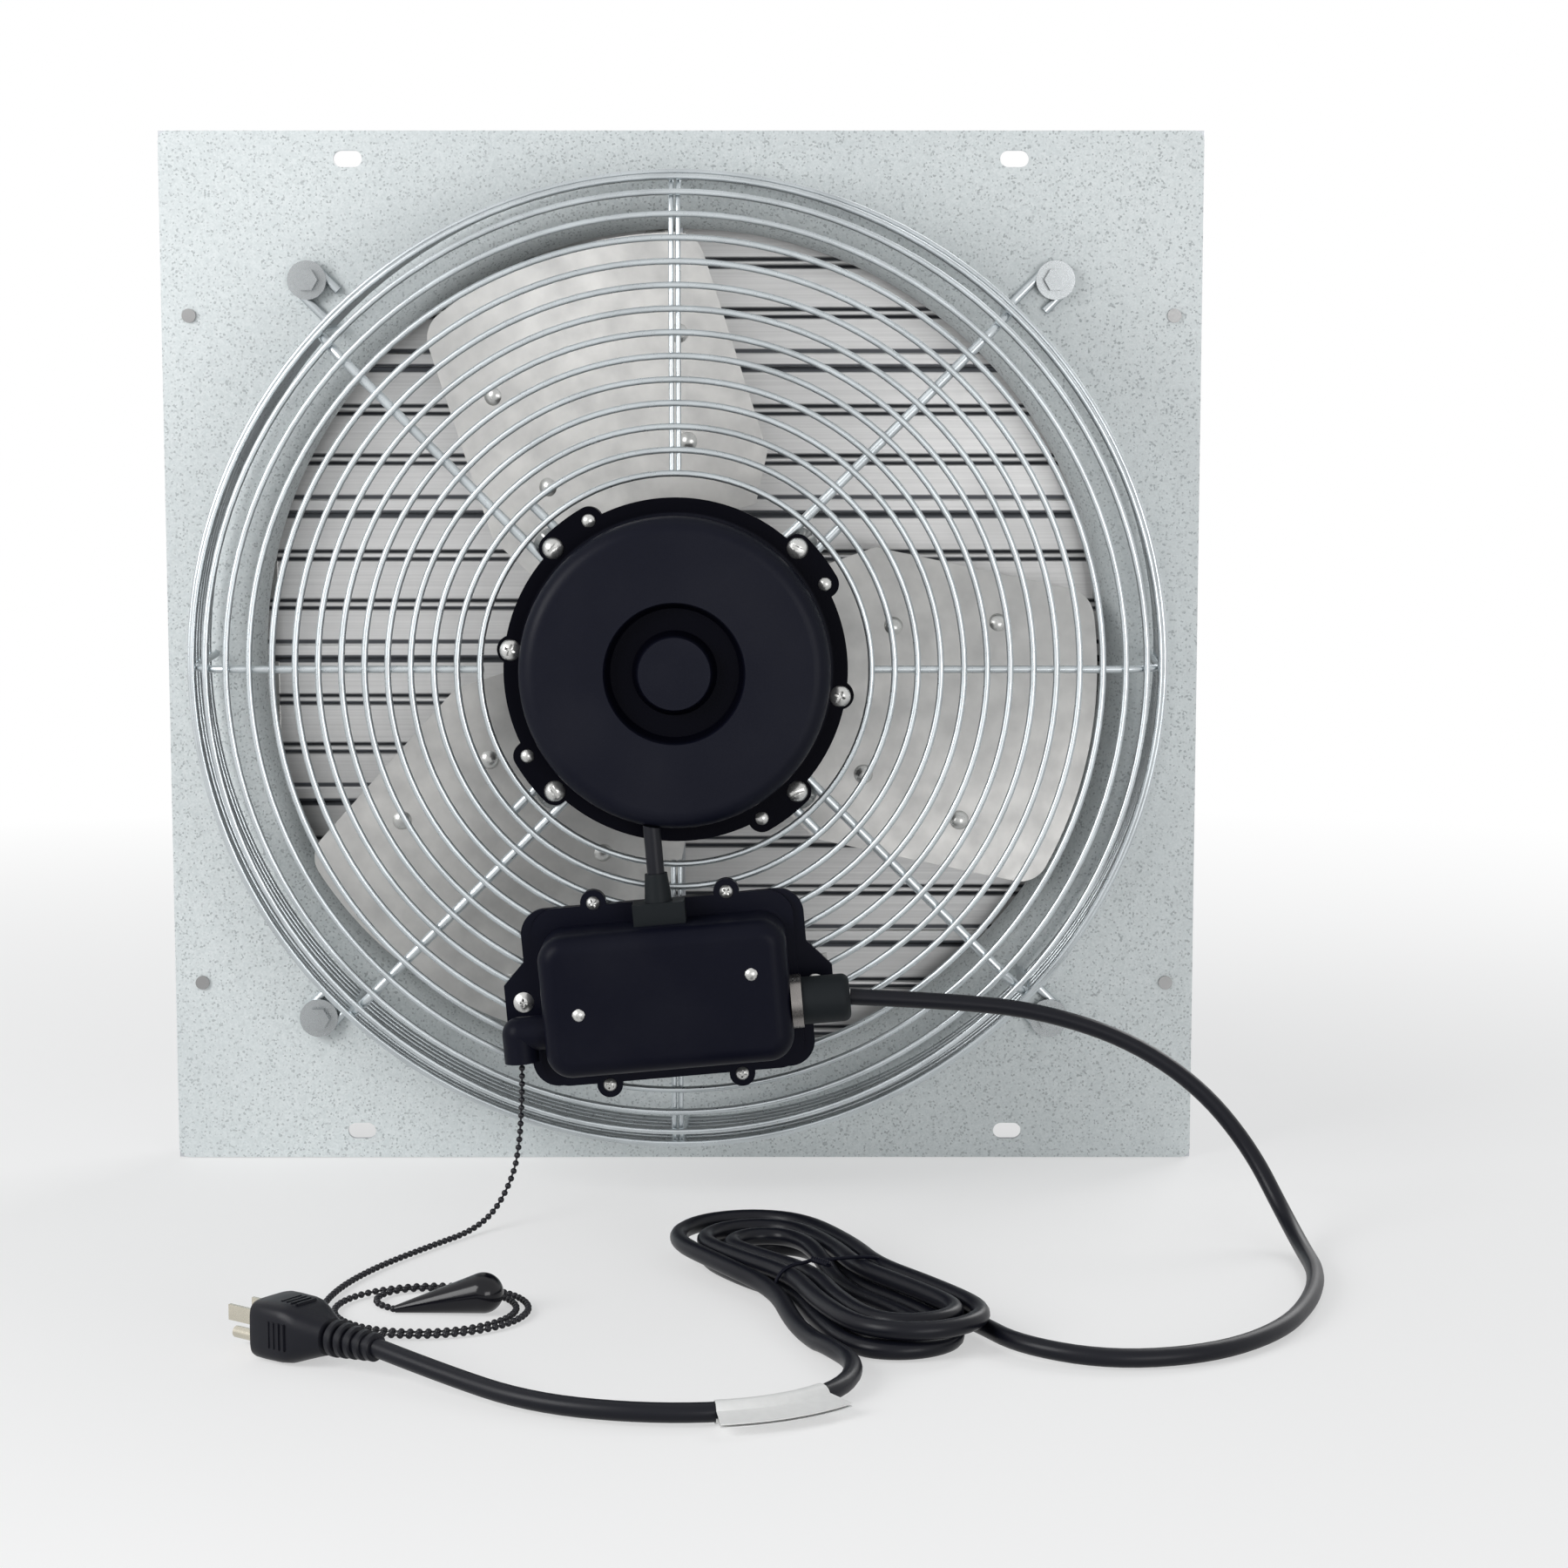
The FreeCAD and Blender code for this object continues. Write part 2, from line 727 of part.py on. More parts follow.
def make_louver_hardware():
    """End brackets, centre arm with its pin, and the rivets, about the louver's pivot."""
    pieces = []
    back = pivot_setback - louver_gauge
    rivet_holes = []
    for x, z in louver_rivet_places():
        rivet_holes.append(disc(x, z, louver_rivet_radius, -pivot_setback, pivot_setback))
    for side in (-1, 1):
        outer = side * louver_half
        inner = side * (louver_half - bracket_width)
        foot = make_bracket_foot(min(outer, inner), max(outer, inner))
        low = min(outer, outer - side * bracket_gauge)
        ear = block(low, low + bracket_gauge, 0, back, -ear_radius, ear_radius)
        round_end = rod(Vec(low, 0, 0), Vec(low + bracket_gauge, 0, 0), ear_radius)
        hole = rod(Vec(low - hole_overrun, 0, 0), Vec(low + bracket_gauge + hole_overrun, 0, 0),
                   pivot_radius + shaft_clearance)
        bracket = joined([foot, ear, round_end])
        pieces.append(cut_all(bracket, [hole] + rivet_holes))
    arm_face = arm_inner_x()
    arm_back = arm_face - bracket_gauge
    foot = make_bracket_foot(arm_face - bracket_width, arm_face)
    pin_y, pin_z = tie_pin_place()
    arm = prism_x([(back - bracket_gauge, -arm_half_width), (back - bracket_gauge, arm_half_width),
                   (pin_y, pin_z + arm_half_width), (pin_y, pin_z - arm_half_width)], arm_back, arm_face)
    tip = rod(Vec(arm_back, pin_y, pin_z), Vec(arm_face, pin_y, pin_z), arm_half_width)
    hole = rod(Vec(arm_back - hole_overrun, pin_y, pin_z), Vec(arm_face + hole_overrun, pin_y, pin_z),
               tie_pin_radius)
    pieces.append(cut_all(joined([foot, arm, tip]), [hole] + rivet_holes))
    pin_end = tie_bar_gauge / 2 + side_clearance
    pin = rod(Vec(arm_back, pin_y, pin_z), Vec(pin_end, pin_y, pin_z), tie_pin_radius)
    pin_head = rod(Vec(pin_end, pin_y, pin_z), Vec(pin_end + tie_pin_head_height, pin_y, pin_z), tie_pin_head)
    pieces.append(joined([pin, pin_head]))
    for x, z in louver_rivet_places():
        shank = disc(x, z, louver_rivet_radius, back - bracket_gauge, pivot_setback)
        head = dome(x, z, louver_rivet_head, louver_rivet_dome, pivot_setback, 1)
        tail = dome(x, z, louver_rivet_head, louver_rivet_tail, back - bracket_gauge, -1)
        pieces.append(joined([shank, head, tail]))
    return pieces


def make_tie_bar():
    pin_y, pin_z = tie_pin_place()
    y = pivot_y + pin_y
    high = pivot_z(0) + pin_z
    low = pivot_z(louver_count - 1) + pin_z
    half = tie_bar_gauge / 2
    bar = block(-half, half, y - tie_bar_width / 2, y + tie_bar_width / 2, low, high)
    ends = [rod(Vec(-half, y, z), Vec(half, y, z), tie_bar_width / 2) for z in (low, high)]
    bar = joined([bar] + ends)
    holes = []
    for index in range(louver_count):
        z = pivot_z(index) + pin_z
        holes.append(rod(Vec(-half - hole_overrun, y, z), Vec(half + hole_overrun, y, z),
                         tie_pin_radius + shaft_clearance))
    return cut_all(bar, holes)


def make_pivots():
    """Pivot rivets in the side rails, one at each end of each louver."""
    pivots = []
    outer = box_side / 2
    for index in range(louver_count):
        for side in (-1, 1):
            start = Vec(side * (outer - frame_gauge - pivot_reach), pivot_y, pivot_z(index))
            end = Vec(side * (outer + hem_gauge), pivot_y, pivot_z(index))
            pin = rod(start, end, pivot_radius)
            head = dome(0, 0, pivot_head_radius, pivot_head_height, 0, 1)
            head = head.rotated(Vec(0, 0, 0), Vec(0, 0, 1), -90 * side)
            head.translate(Vec(side * outer, pivot_y, pivot_z(index)))
            clear = block(-panel_side, panel_side, box_depth - hem_width, box_depth, -panel_side, panel_side)
            pivots.append(joined([pin, head.cut(clear)]))
    return pivots


# Wire guard

def guard_corners(inset, foot, inner_radius):
    """Corners of the guard's profile, moved inwards by inset, as (radius, depth) pairs."""
    base = (guard_base_radius - inset, foot)
    shoulder = (guard_base_radius - guard_taper - inset, guard_depth - inset)
    return [base, shoulder, (inner_radius, guard_depth - inset)]


def guard_profile_edges():
    corners = guard_corners(0, guard_foot, ring_inner_radius)
    points = [Vec(radius, value, 0) for radius, value in corners]
    return rounded_edges(points, [guard_shoulder])


def ring_places():
    """(radius, depth) of each ring, evenly spaced along the profile."""
    path = Part.Wire(guard_profile_edges())
    places = []
    for point in path.discretize(ring_count):
        places.append((point.x, point.y))
    return places


def make_guard_rings():
    """Rings of the flat face, and rings of the shoulder and side."""
    face = []
    side = []
    for radius, value in ring_places():
        ring = Part.makeTorus(radius, ring_wire, Vec(0, depth(value), 0), Vec(0, 1, 0))
        if value > guard_depth - 0.01:
            face.append(ring)
        else:
            side.append(ring)
    return face, side


def guard_point(radius, offset, value, angle):
    x = radius * math.cos(math.radians(angle)) - offset * math.sin(math.radians(angle))
    z = radius * math.sin(math.radians(angle)) + offset * math.cos(math.radians(angle))
    return Vec(x, depth(value), z)


def make_plain_spoke(angle, offset, wire):
    inset = ring_wire + wire - weld_sink
    corners = guard_corners(inset, wire + side_clearance, ring_inner_radius - ring_wire)
    points = [guard_point(radius, offset, value, angle) for radius, value in corners]
    return tube(rounded_edges(points, [guard_shoulder - inset]), wire)


def make_brace(angle):
    """Diagonal wire: an eye round the panel bolt, up the guard, and an eye round the motor screw."""
    inset = ring_wire + brace_wire - weld_sink
    low = brace_wire
    eye = guard_bolt_spacing / math.sqrt(2)
    foot, shoulder, inner = guard_corners(inset, low, ear_circle)
    rise = [guard_point(eye, brace_loop, low, angle), guard_point(foot[0], brace_loop, low, angle),
            guard_point(shoulder[0], brace_loop, shoulder[1], angle),
            guard_point(ear_circle, brace_loop, inner[1], angle)]
    stub = Part.LineSegment(guard_point(eye - brace_stub, -brace_loop, low, angle),
                            guard_point(eye, -brace_loop, low, angle)).toShape()
    outer_eye = Part.Arc(guard_point(eye, -brace_loop, low, angle),
                         guard_point(eye + brace_loop, 0, low, angle),
                         guard_point(eye, brace_loop, low, angle)).toShape()
    inner_eye = Part.Arc(guard_point(ear_circle, brace_loop, inner[1], angle),
                         guard_point(ear_circle - brace_loop, 0, inner[1], angle),
                         guard_point(ear_circle, -brace_loop, inner[1], angle)).toShape()
    tail = Part.LineSegment(guard_point(ear_circle, -brace_loop, inner[1], angle),
                            guard_point(ear_circle + brace_inner_stub, -brace_loop, inner[1],
                                        angle)).toShape()
    middle = rounded_edges(rise, [brace_foot_bend, guard_shoulder - inset])
    return tube([stub, outer_eye] + middle + [inner_eye, tail], brace_wire)


def make_guard_spokes():
    spokes = [make_plain_spoke(0, 0, single_wire), make_plain_spoke(180, 0, single_wire)]
    for angle in (90, 270):
        for side in (-1, 1):
            spokes.append(make_plain_spoke(angle, side * double_spread, double_wire))
    for angle in guard_screw_angles:
        spokes.append(make_brace(angle))
    return spokes


def make_guard_bolts():
    """Bolt, washer and nut at each corner of the guard."""
    pieces = []
    wire_top = 2 * brace_wire
    washer_top = wire_top + guard_washer_gauge
    for x, z in corner_places(guard_bolt_spacing, guard_bolt_spacing):
        shank = disc(x, z, guard_bolt_radius, depth(washer_top), panel_back + nut_height + bolt_run_out)
        head = hexagon(x, z, bolt_head_across, depth(washer_top), depth(washer_top + bolt_head_height))
        pieces.append(joined([shank, head]))
        hole = disc(x, z, guard_bolt_radius, depth(washer_top), panel_back + nut_height)
        washer = disc(x, z, guard_washer_radius, depth(wire_top), depth(washer_top))
        nut = hexagon(x, z, bolt_head_across, panel_back, panel_back + nut_height)
        pieces.append(washer.cut(hole))
        pieces.append(nut.cut(hole))
    return pieces


# Motor

def motor_ears(angles, circle, low, high, reach_in):
    """Round ears on a circle round the motor, with a web in to a smaller radius."""
    ears = []
    for angle in angles:
        pad = disc(circle, 0, motor_ear, depth(low), depth(high))
        web = block(reach_in, circle, depth(high), depth(low), -motor_ear, motor_ear)
        ears.append(spun(joined([pad, web]), angle))
    return ears


def motor_lobes():
    """Parts of the flange that join each case bolt's ear to that of the guard screw beside it."""
    lobes = []
    for bolt_angle, screw_angle in zip(case_bolt_angles, guard_screw_angles):
        sector = Part.makeCylinder(ear_circle + motor_ear, flange_gauge, Vec(0, depth(flange_high), 0),
                                   Vec(0, 1, 0), screw_angle - bolt_angle)
        lobes.append(spun(sector, screw_angle))
    return lobes


def ear_holes(angles, circle, radius, low, high):
    holes = []
    for angle in angles:
        x, z = polar(circle, angle)
        holes.append(disc(x, z, radius, depth(low), depth(high)))
    return holes


def make_rear_bell():
    edge = case_radius - case_round
    quarter = case_round * math.sqrt(0.5)
    wall = disc(0, 0, case_radius, depth(flange_low), depth(motor_rear - case_round))
    shoulder_edges = [
        Part.LineSegment(Vec(0, depth(motor_rear - case_round), 0),
                         Vec(case_radius, depth(motor_rear - case_round), 0)).toShape(),
        Part.Arc(Vec(case_radius, depth(motor_rear - case_round), 0),
                 Vec(edge + quarter, depth(motor_rear - case_round + quarter), 0),
                 Vec(edge, depth(motor_rear), 0)).toShape(),
        Part.LineSegment(Vec(edge, depth(motor_rear), 0), Vec(0, depth(motor_rear), 0)).toShape(),
        Part.LineSegment(Vec(0, depth(motor_rear), 0), Vec(0, depth(motor_rear - case_round), 0)).toShape(),
    ]
    crown = Part.Face(Part.Wire(shoulder_edges)).revolve(Vec(0, 0, 0), Vec(0, 1, 0), 360)
    flange = disc(0, 0, flange_radius, depth(flange_low), depth(flange_high))
    ears = motor_ears(guard_screw_angles + case_bolt_angles, ear_circle, flange_low, flange_high, edge)
    bell = joined([wall, crown, flange] + ears + motor_lobes())
    recess_floor = Vec(0, depth(motor_rear - recess_depth), 0)
    recess = Part.makeCone(recess_radius - recess_draft, recess_radius, recess_depth, recess_floor,
                           Vec(0, -1, 0))
    boss = Part.makeCone(boss_radius + recess_draft, boss_radius, recess_depth, recess_floor, Vec(0, -1, 0))
    floor = motor_rear - recess_depth - case_wall
    cavity = disc(0, 0, case_radius - case_wall, depth(flange_low), depth(floor))
    seat = disc(0, 0, bearing_radius, depth(floor), depth(floor + bearing_length))
    holes = ear_holes(guard_screw_angles, ear_circle, guard_screw_radius, flange_low, flange_high)
    holes += ear_holes(case_bolt_angles, ear_circle, case_bolt_radius, flange_low, flange_high)
    holes += ear_holes(case_screw_angles, case_screw_circle, case_bolt_radius, flange_low, flange_high)
    return cut_all(bell, [recess.cut(boss), cavity, seat] + holes)


def make_front_bell():
    ear_low = flange_low - flange_gauge
    cup = disc(0, 0, front_case_radius, depth(motor_front), depth(flange_low))
    inner = front_case_radius - case_wall
    ears = motor_ears(case_bolt_angles, ear_circle, ear_low, flange_low, inner)
    ears += motor_ears(case_screw_angles, case_screw_circle, ear_low, flange_low, inner)
    cup = joined([cup] + ears)
    seat_low = motor_front + case_wall
    seat_high = seat_low + bearing_length
    cavity = disc(0, 0, inner, depth(seat_high), depth(flange_low))
    collar = disc(0, 0, bearing_radius + case_wall, depth(seat_low), depth(seat_high))
    hollow = disc(0, 0, inner, depth(seat_low), depth(seat_high)).cut(collar)
    seat = disc(0, 0, bearing_radius, depth(seat_low), depth(seat_high))
    bore = disc(0, 0, shaft_radius + shaft_hole_margin, depth(motor_front), depth(seat_low))
    holes = ear_holes(case_bolt_angles, ear_circle, case_bolt_radius, ear_low, flange_low)
    holes += ear_holes(case_screw_angles, case_screw_circle, case_bolt_radius, ear_low, flange_low)
    return cut_all(cup, [cavity, hollow, seat, bore] + holes)


def make_motor_screws():
    """Guard screws with washers and nuts, then the bolts and screws that close the case."""
    pieces = []
    washer_high = brace_depth - brace_wire
    washer_low = washer_high - guard_washer_gauge
    nut_low = washer_low - nut_height
    for angle in guard_screw_angles:
        x, z = polar(ear_circle, angle)
        shank = disc(x, z, guard_screw_radius, depth(nut_low - bolt_run_out), depth(flange_high))
        head = dome(x, z, screw_head_radius, screw_head_height, depth(flange_high), -1)
        pieces.append(joined([shank, head]))
        hole = disc(x, z, guard_screw_radius, depth(nut_low), depth(washer_high))
        washer = disc(x, z, guard_washer_radius, depth(washer_low), depth(washer_high))
        nut = hexagon(x, z, bolt_head_across, depth(nut_low), depth(washer_low))
        pieces.append(washer.cut(hole))
        pieces.append(nut.cut(hole))
    ear_low = flange_low - flange_gauge
    for angle in case_bolt_angles + case_screw_angles:
        is_screw = angle in case_screw_angles
        x, z = polar(case_screw_circle if is_screw else ear_circle, angle)
        radius = screw_head_radius if is_screw else case_bolt_head
        shank = disc(x, z, case_bolt_radius, depth(ear_low - nut_height), depth(flange_high))
        head = dome(x, z, radius, radius * case_head_share, depth(flange_high), -1)
        nut = hexagon(x, z, 2 * case_bolt_head, depth(ear_low - nut_height), depth(ear_low))
        pieces.append(joined([shank, head]))
        pieces.append(nut.cut(disc(x, z, case_bolt_radius, depth(ear_low - nut_height), depth(ear_low))))
    return pieces


def make_stator_core():
    outer = front_case_radius - case_wall
    ring = disc(0, 0, outer, depth(core_low), depth(core_high))
    return ring.cut(disc(0, 0, rotor_radius + air_gap, depth(core_low), depth(core_high)))


def make_stator_windings():
    inner = rotor_radius + air_gap + case_wall
    outer = front_case_radius - 2 * case_wall
    rings = []
    for low, high in ((core_low - winding_length, core_low), (core_high, core_high + winding_length)):
        ring = disc(0, 0, outer, depth(low), depth(high))
        rings.append(ring.cut(disc(0, 0, inner, depth(low), depth(high))))
    return rings


def bearing_places():
    rear_low = motor_rear - recess_depth - case_wall
    front_low = motor_front + case_wall
    return ((rear_low, rear_low + bearing_length), (front_low, front_low + bearing_length))


def make_bearings():
    bearings = []
    for low, high in bearing_places():
        ring = disc(0, 0, bearing_radius, depth(low), depth(high))
        bearings.append(ring.cut(disc(0, 0, shaft_radius + shaft_clearance, depth(low), depth(high))))
    return bearings


def make_shaft():
    rear = bearing_places()[0][1] - side_clearance
    return disc(0, 0, shaft_radius, depth(hub_front), depth(rear))


def make_rotor_core():
    core = disc(0, 0, rotor_radius, depth(core_low), depth(core_high))
    return core.cut(disc(0, 0, shaft_radius, depth(core_low), depth(core_high)))


# Hub and blades, made pointing up and then turned to their angles

def camber_circle():
    """Centre and radius of the arc that a blade's motor side follows, in x and y."""
    ends = (Vec(-blade_half_chord, blade_half_rise, 0), Vec(blade_half_chord, -blade_half_rise, 0))
    across = ends[1] - ends[0]
    half = across.Length / 2
    radius = (half ** 2 + blade_camber ** 2) / (2 * blade_camber)
    normal = Vec(-across.y, across.x, 0)
    normal.normalize()
    if normal.y < 0:
        normal = normal * -1
    middle = Vec(0, depth(blade_mid_depth), 0)
    return middle + normal * (radius - blade_camber), radius


def camber_band(near, far):
    """Sheet between two distances behind the blade's motor side, long enough for any outline."""
    centre, radius = camber_circle()
    outer = Part.makeCylinder(radius - near, 2 * blade_radius, Vec(centre.x, centre.y, 0), Vec(0, 0, 1))
    inner = Part.makeCylinder(radius - far, 2 * blade_radius, Vec(centre.x, centre.y, 0), Vec(0, 0, 1))
    band = outer.cut(inner)
    reach = 2 * blade_half_chord
    return band.common(block(-reach, reach, centre.y - 2 * radius, centre.y, -1, 2 * blade_radius))


def rivet_axis(x, z):
    """Point on the blade's motor side and the direction into the sheet."""
    centre, radius = camber_circle()
    y = centre.y - math.sqrt(radius ** 2 - (x - centre.x) ** 2)
    point = Vec(x, y, z)
    inward = Vec(centre.x - x, centre.y - y, 0)
    inward.normalize()
    return point, inward


def blade_rivet_rods(overrun):
    """Rivet shanks through a blade and its arm, or holes for them when they overrun both sides."""
    rods = []
    for x, z in blade_rivet_places:
        point, inward = rivet_axis(x, z)
        start = point - inward * overrun
        rods.append(rod(start, start + inward * (blade_gauge + arm_gauge + 2 * overrun), blade_rivet_radius))
    return rods


def make_blade():
    tip = blade_radius
    half = blade_half_chord
    shoulder = math.sqrt(tip ** 2 - half ** 2)
    low = depth(blade_mid_depth) - 2 * half
    corners = [Vec(half, low, shoulder), Vec(half, low, blade_root_shoulder),
               Vec(blade_root_half, low, blade_root), Vec(-blade_root_half, low, blade_root),
               Vec(-half, low, blade_root_shoulder), Vec(-half, low, shoulder)]
    edges = [Part.Arc(Vec(-half, low, shoulder), Vec(0, low, tip), Vec(half, low, shoulder)).toShape()]
    for first, second in zip(corners[:-1], corners[1:]):
        edges.append(Part.LineSegment(first, second).toShape())
    outline = Part.Face(Part.Wire(edges)).extrude(Vec(0, 4 * half, 0))
    tips = []
    for edge in outline.Edges:
        at = edge.Vertexes[0].Point
        along = edge.tangentAt(edge.FirstParameter)
        if abs(along.y) > 0.9 and abs(at.z - shoulder) < 0.01:
            tips.append(edge)
    outline = outline.makeFillet(blade_corner, tips)
    blade = camber_band(0, blade_gauge).common(outline)
    return cut_all(blade, blade_rivet_rods(hole_overrun))


def make_hub():
    """Hub boss with one arm under each blade."""
    low = depth(blade_mid_depth) - 2 * blade_half_chord
    inner_x, inner_z = blade_rivet_places[0]
    outer_x, outer_z = blade_rivet_places[2]
    rim = arm_rim
    points = [(-arm_root_half, arm_root), (-inner_x - rim, inner_z), (-outer_x - rim, outer_z + rim),
              (-outer_x + rim, outer_z + rim), (0, inner_z + rim), (outer_x - rim, outer_z + rim),
              (outer_x + rim, outer_z + rim), (inner_x + rim, inner_z), (arm_root_half, arm_root)]
    outline = prism_y(points, low, low + 4 * blade_half_chord)
    arm = camber_band(blade_gauge, blade_gauge + arm_gauge).common(outline)
    arm = cut_all(arm, blade_rivet_rods(hole_overrun))
    boss = disc(0, 0, hub_radius, depth(hub_front), depth(hub_rear))
    arms = [spun(arm, blade_angle(index)) for index in range(blade_count)]
    hub = joined([boss] + arms)
    bore = disc(0, 0, shaft_radius, depth(hub_front), depth(hub_rear))
    y = depth(set_screw_depth())
    hole = rod(Vec(0, y, 0), Vec(0, y, hub_radius + hole_overrun), set_screw_radius)
    return cut_all(hub, [bore, hole])


def set_screw_depth():
    return hub_rear - 2 * set_screw_radius


def set_screw():
    """Screw in the hub's side, set just below its surface."""
    y = depth(set_screw_depth())
    screw = rod(Vec(0, y, 0), Vec(0, y, hub_radius - set_screw_inset), set_screw_radius)
    return screw.cut(disc(0, 0, shaft_radius, depth(hub_front), depth(hub_rear)))


def blade_angle(index):
    return first_blade_angle - 90 + 360 / blade_count * index


def make_hub_fasteners():
    pieces = [set_screw()]
    for index in range(blade_count):
        for (x, z), shank in zip(blade_rivet_places, blade_rivet_rods(rivet_seat)):
            point, inward = rivet_axis(x, z)
            head = dome(0, 0, blade_rivet_head, blade_rivet_dome, -rivet_seat, -1)
            back = blade_gauge + arm_gauge + rivet_seat
            tail = dome(0, 0, blade_rivet_head, blade_rivet_dome / 2, back, 1)
            ends = Part.makeCompound([head, tail])
            turn = FreeCAD.Rotation(Vec(0, 1, 0), inward)
            ends.Placement = FreeCAD.Placement(point, turn)
            pieces.append(spun(joined([shank] + ends.Solids), blade_angle(index)))
    return pieces


# Switch box, made level about its centre and then tilted into place

def tilted(shape):
    place = FreeCAD.Placement(Vec(switch_box_x, 0, switch_box_z),
                              FreeCAD.Rotation(Vec(0, 1, 0), -switch_box_tilt))
    moved = shape.copy()
    moved.Placement = place.multiply(shape.Placement)
    return moved


def tilted_point(x, y, z):
    place = FreeCAD.Placement(Vec(switch_box_x, 0, switch_box_z),
                              FreeCAD.Rotation(Vec(0, 1, 0), -switch_box_tilt))
    return place.multVec(Vec(x, y, z))


def untilted_point(point):
    place = FreeCAD.Placement(Vec(switch_box_x, 0, switch_box_z),
                              FreeCAD.Rotation(Vec(0, 1, 0), -switch_box_tilt))
    return place.inverse().multVec(point)


def ear_screw_places():
    """Ear screws, moved along their radius to pass midway between two guard rings."""
    radii = sorted(radius for radius, value in ring_places() if value > guard_depth - 0.01)
    gaps = [(first + second) / 2 for first, second in zip(radii[:-1], radii[1:])]
    places = []
    for side in (-1, 1):
        wished = tilted_point(side * box_ear_x, 0, 0)
        reach = math.hypot(wished.x, wished.z)
        nearest = min(gaps, key=lambda radius: abs(radius - reach))
        moved = untilted_point(wished * (nearest / reach))
        places.append((moved.x, moved.z))
    return places


def lug_places():
    return corner_places(2 * box_lug_x, 2 * box_lug_z)


def box_flange(half_x, low, high):
    """Flange plate with its four screw lugs."""
    plate = block(-half_x, half_x, depth(high), depth(low), -box_flange_half_z, box_flange_half_z)
    upright = [edge for edge in plate.Edges if abs(edge.tangentAt(edge.FirstParameter).y) > 0.9]
    plate = plate.makeFillet(box_body_corner, upright)
    lugs = [disc(x, z, box_lug_radius, depth(low), depth(high)) for x, z in lug_places()]
    return joined([plate] + lugs)


def make_box_base():
    plate = box_flange(box_base_half_x, box_seat, box_flange_low)
    ears = []
    holes = []
    for x, z in ear_screw_places():
        side = 1 if x > 0 else -1
        root = side * (box_base_half_x - box_body_corner)
        high = box_flange_half_z - box_body_corner
        edge = x + side * box_ear_radius
        outline = [(root, high), (edge, z + box_ear_radius), (edge, z - box_ear_radius), (root, -high)]
        ears.append(prism_y(outline, depth(box_flange_low), depth(box_seat)))
        holes.append(disc(x, z, box_screw_radius, depth(box_seat), depth(box_flange_low)))
    for x, z in lug_places():
        holes.append(disc(x, z, box_screw_radius, depth(box_seat), depth(box_flange_low)))
    return cut_all(joined([plate] + ears), holes)


def rounded_body(half_x, half_z, low, high, corner, edge_round):
    body = block(-half_x, half_x, depth(high), depth(low), -half_z, half_z)
    upright = [edge for edge in body.Edges if abs(edge.tangentAt(edge.FirstParameter).y) > 0.9]
    body = body.makeFillet(corner, upright)
    rim = [edge for edge in body.Edges if abs(edge.BoundBox.YMax - depth(high)) < 0.01]
    return body.makeFillet(edge_round, rim)


def make_box_cover():
    flange = box_flange(box_flange_half_x, box_flange_low, box_body_low)
    body = rounded_body(box_body_half_x, box_body_half_z, box_flange_low, box_top,
                        box_body_corner, box_body_edge)
    inner = rounded_body(box_body_half_x - box_wall, box_body_half_z - box_wall, box_flange_low,
                         box_top - box_wall, box_body_corner - box_wall, box_body_edge - box_wall)
    holes = [inner]
    for x, z in lug_places():
        holes.append(disc(x, z, box_screw_radius, depth(box_flange_low), depth(box_body_low)))
    for x, z in cover_rivet_places:
        holes.append(disc(x, z, cover_rivet_radius / 2, depth(box_top - box_wall), depth(box_top)))
    wall = box_body_half_x
    gland_y = depth(box_flange_low + gland_depth)
    holes.append(rod(Vec(wall - 2 * box_wall, gland_y, gland_z), Vec(wall + 1, gland_y, gland_z),
                     gland_thread_radius))
    nose_y = depth(box_flange_low + nose_depth)
    holes.append(rod(Vec(-wall - 1, nose_y, nose_z), Vec(-wall + 2 * box_wall, nose_y, nose_z), nose_bore))
    lead_y = depth(box_flange_low + lead_depth)
    roof = box_body_half_z
    holes.append(rod(Vec(0, lead_y, roof - 2 * box_wall), Vec(0, lead_y, roof + 1), lead_radius))
    return cut_all(joined([flange, body]), holes)


def make_box_screws():
    """Cover screws in the lugs, mounting screws in the ears, and the two cover rivets."""
    pieces = []
    for x, z in lug_places():
        shank = disc(x, z, box_screw_radius, depth(box_seat), depth(box_body_low))
        head = dome(x, z, box_screw_head, box_screw_head_height, depth(box_body_low), -1)
        pieces.append(joined([shank, head]))
    for x, z in ear_screw_places():
        shank = disc(x, z, box_screw_radius, depth(clamp_low()), depth(box_flange_low))
        head = dome(x, z, ear_screw_head, box_screw_head_height, depth(box_flange_low), -1)
        pieces.append(joined([shank, head]))
    for x, z in cover_rivet_places:
        shank = disc(x, z, cover_rivet_radius / 2, depth(box_top - box_wall), depth(box_top))
        head = dome(x, z, cover_rivet_radius, cover_rivet_height, depth(box_top), -1)
        pieces.append(joined([shank, head]))
    return [tilted(piece) for piece in pieces]


def clamp_low():
    return guard_depth - ring_wire - clamp_gauge


def make_box_clamps():
    """Plates behind the guard rings that the ear screws draw up."""
    clamps = []
    for x, z in ear_screw_places():
        low = clamp_low()
        plate = block(x - clamp_width / 2, x + clamp_width / 2, depth(low + clamp_gauge), depth(low),
                      z - clamp_length / 2, z + clamp_length / 2)
        clamps.append(tilted(plate.cut(disc(x, z, box_screw_radius, depth(low), depth(low + clamp_gauge)))))
    return clamps


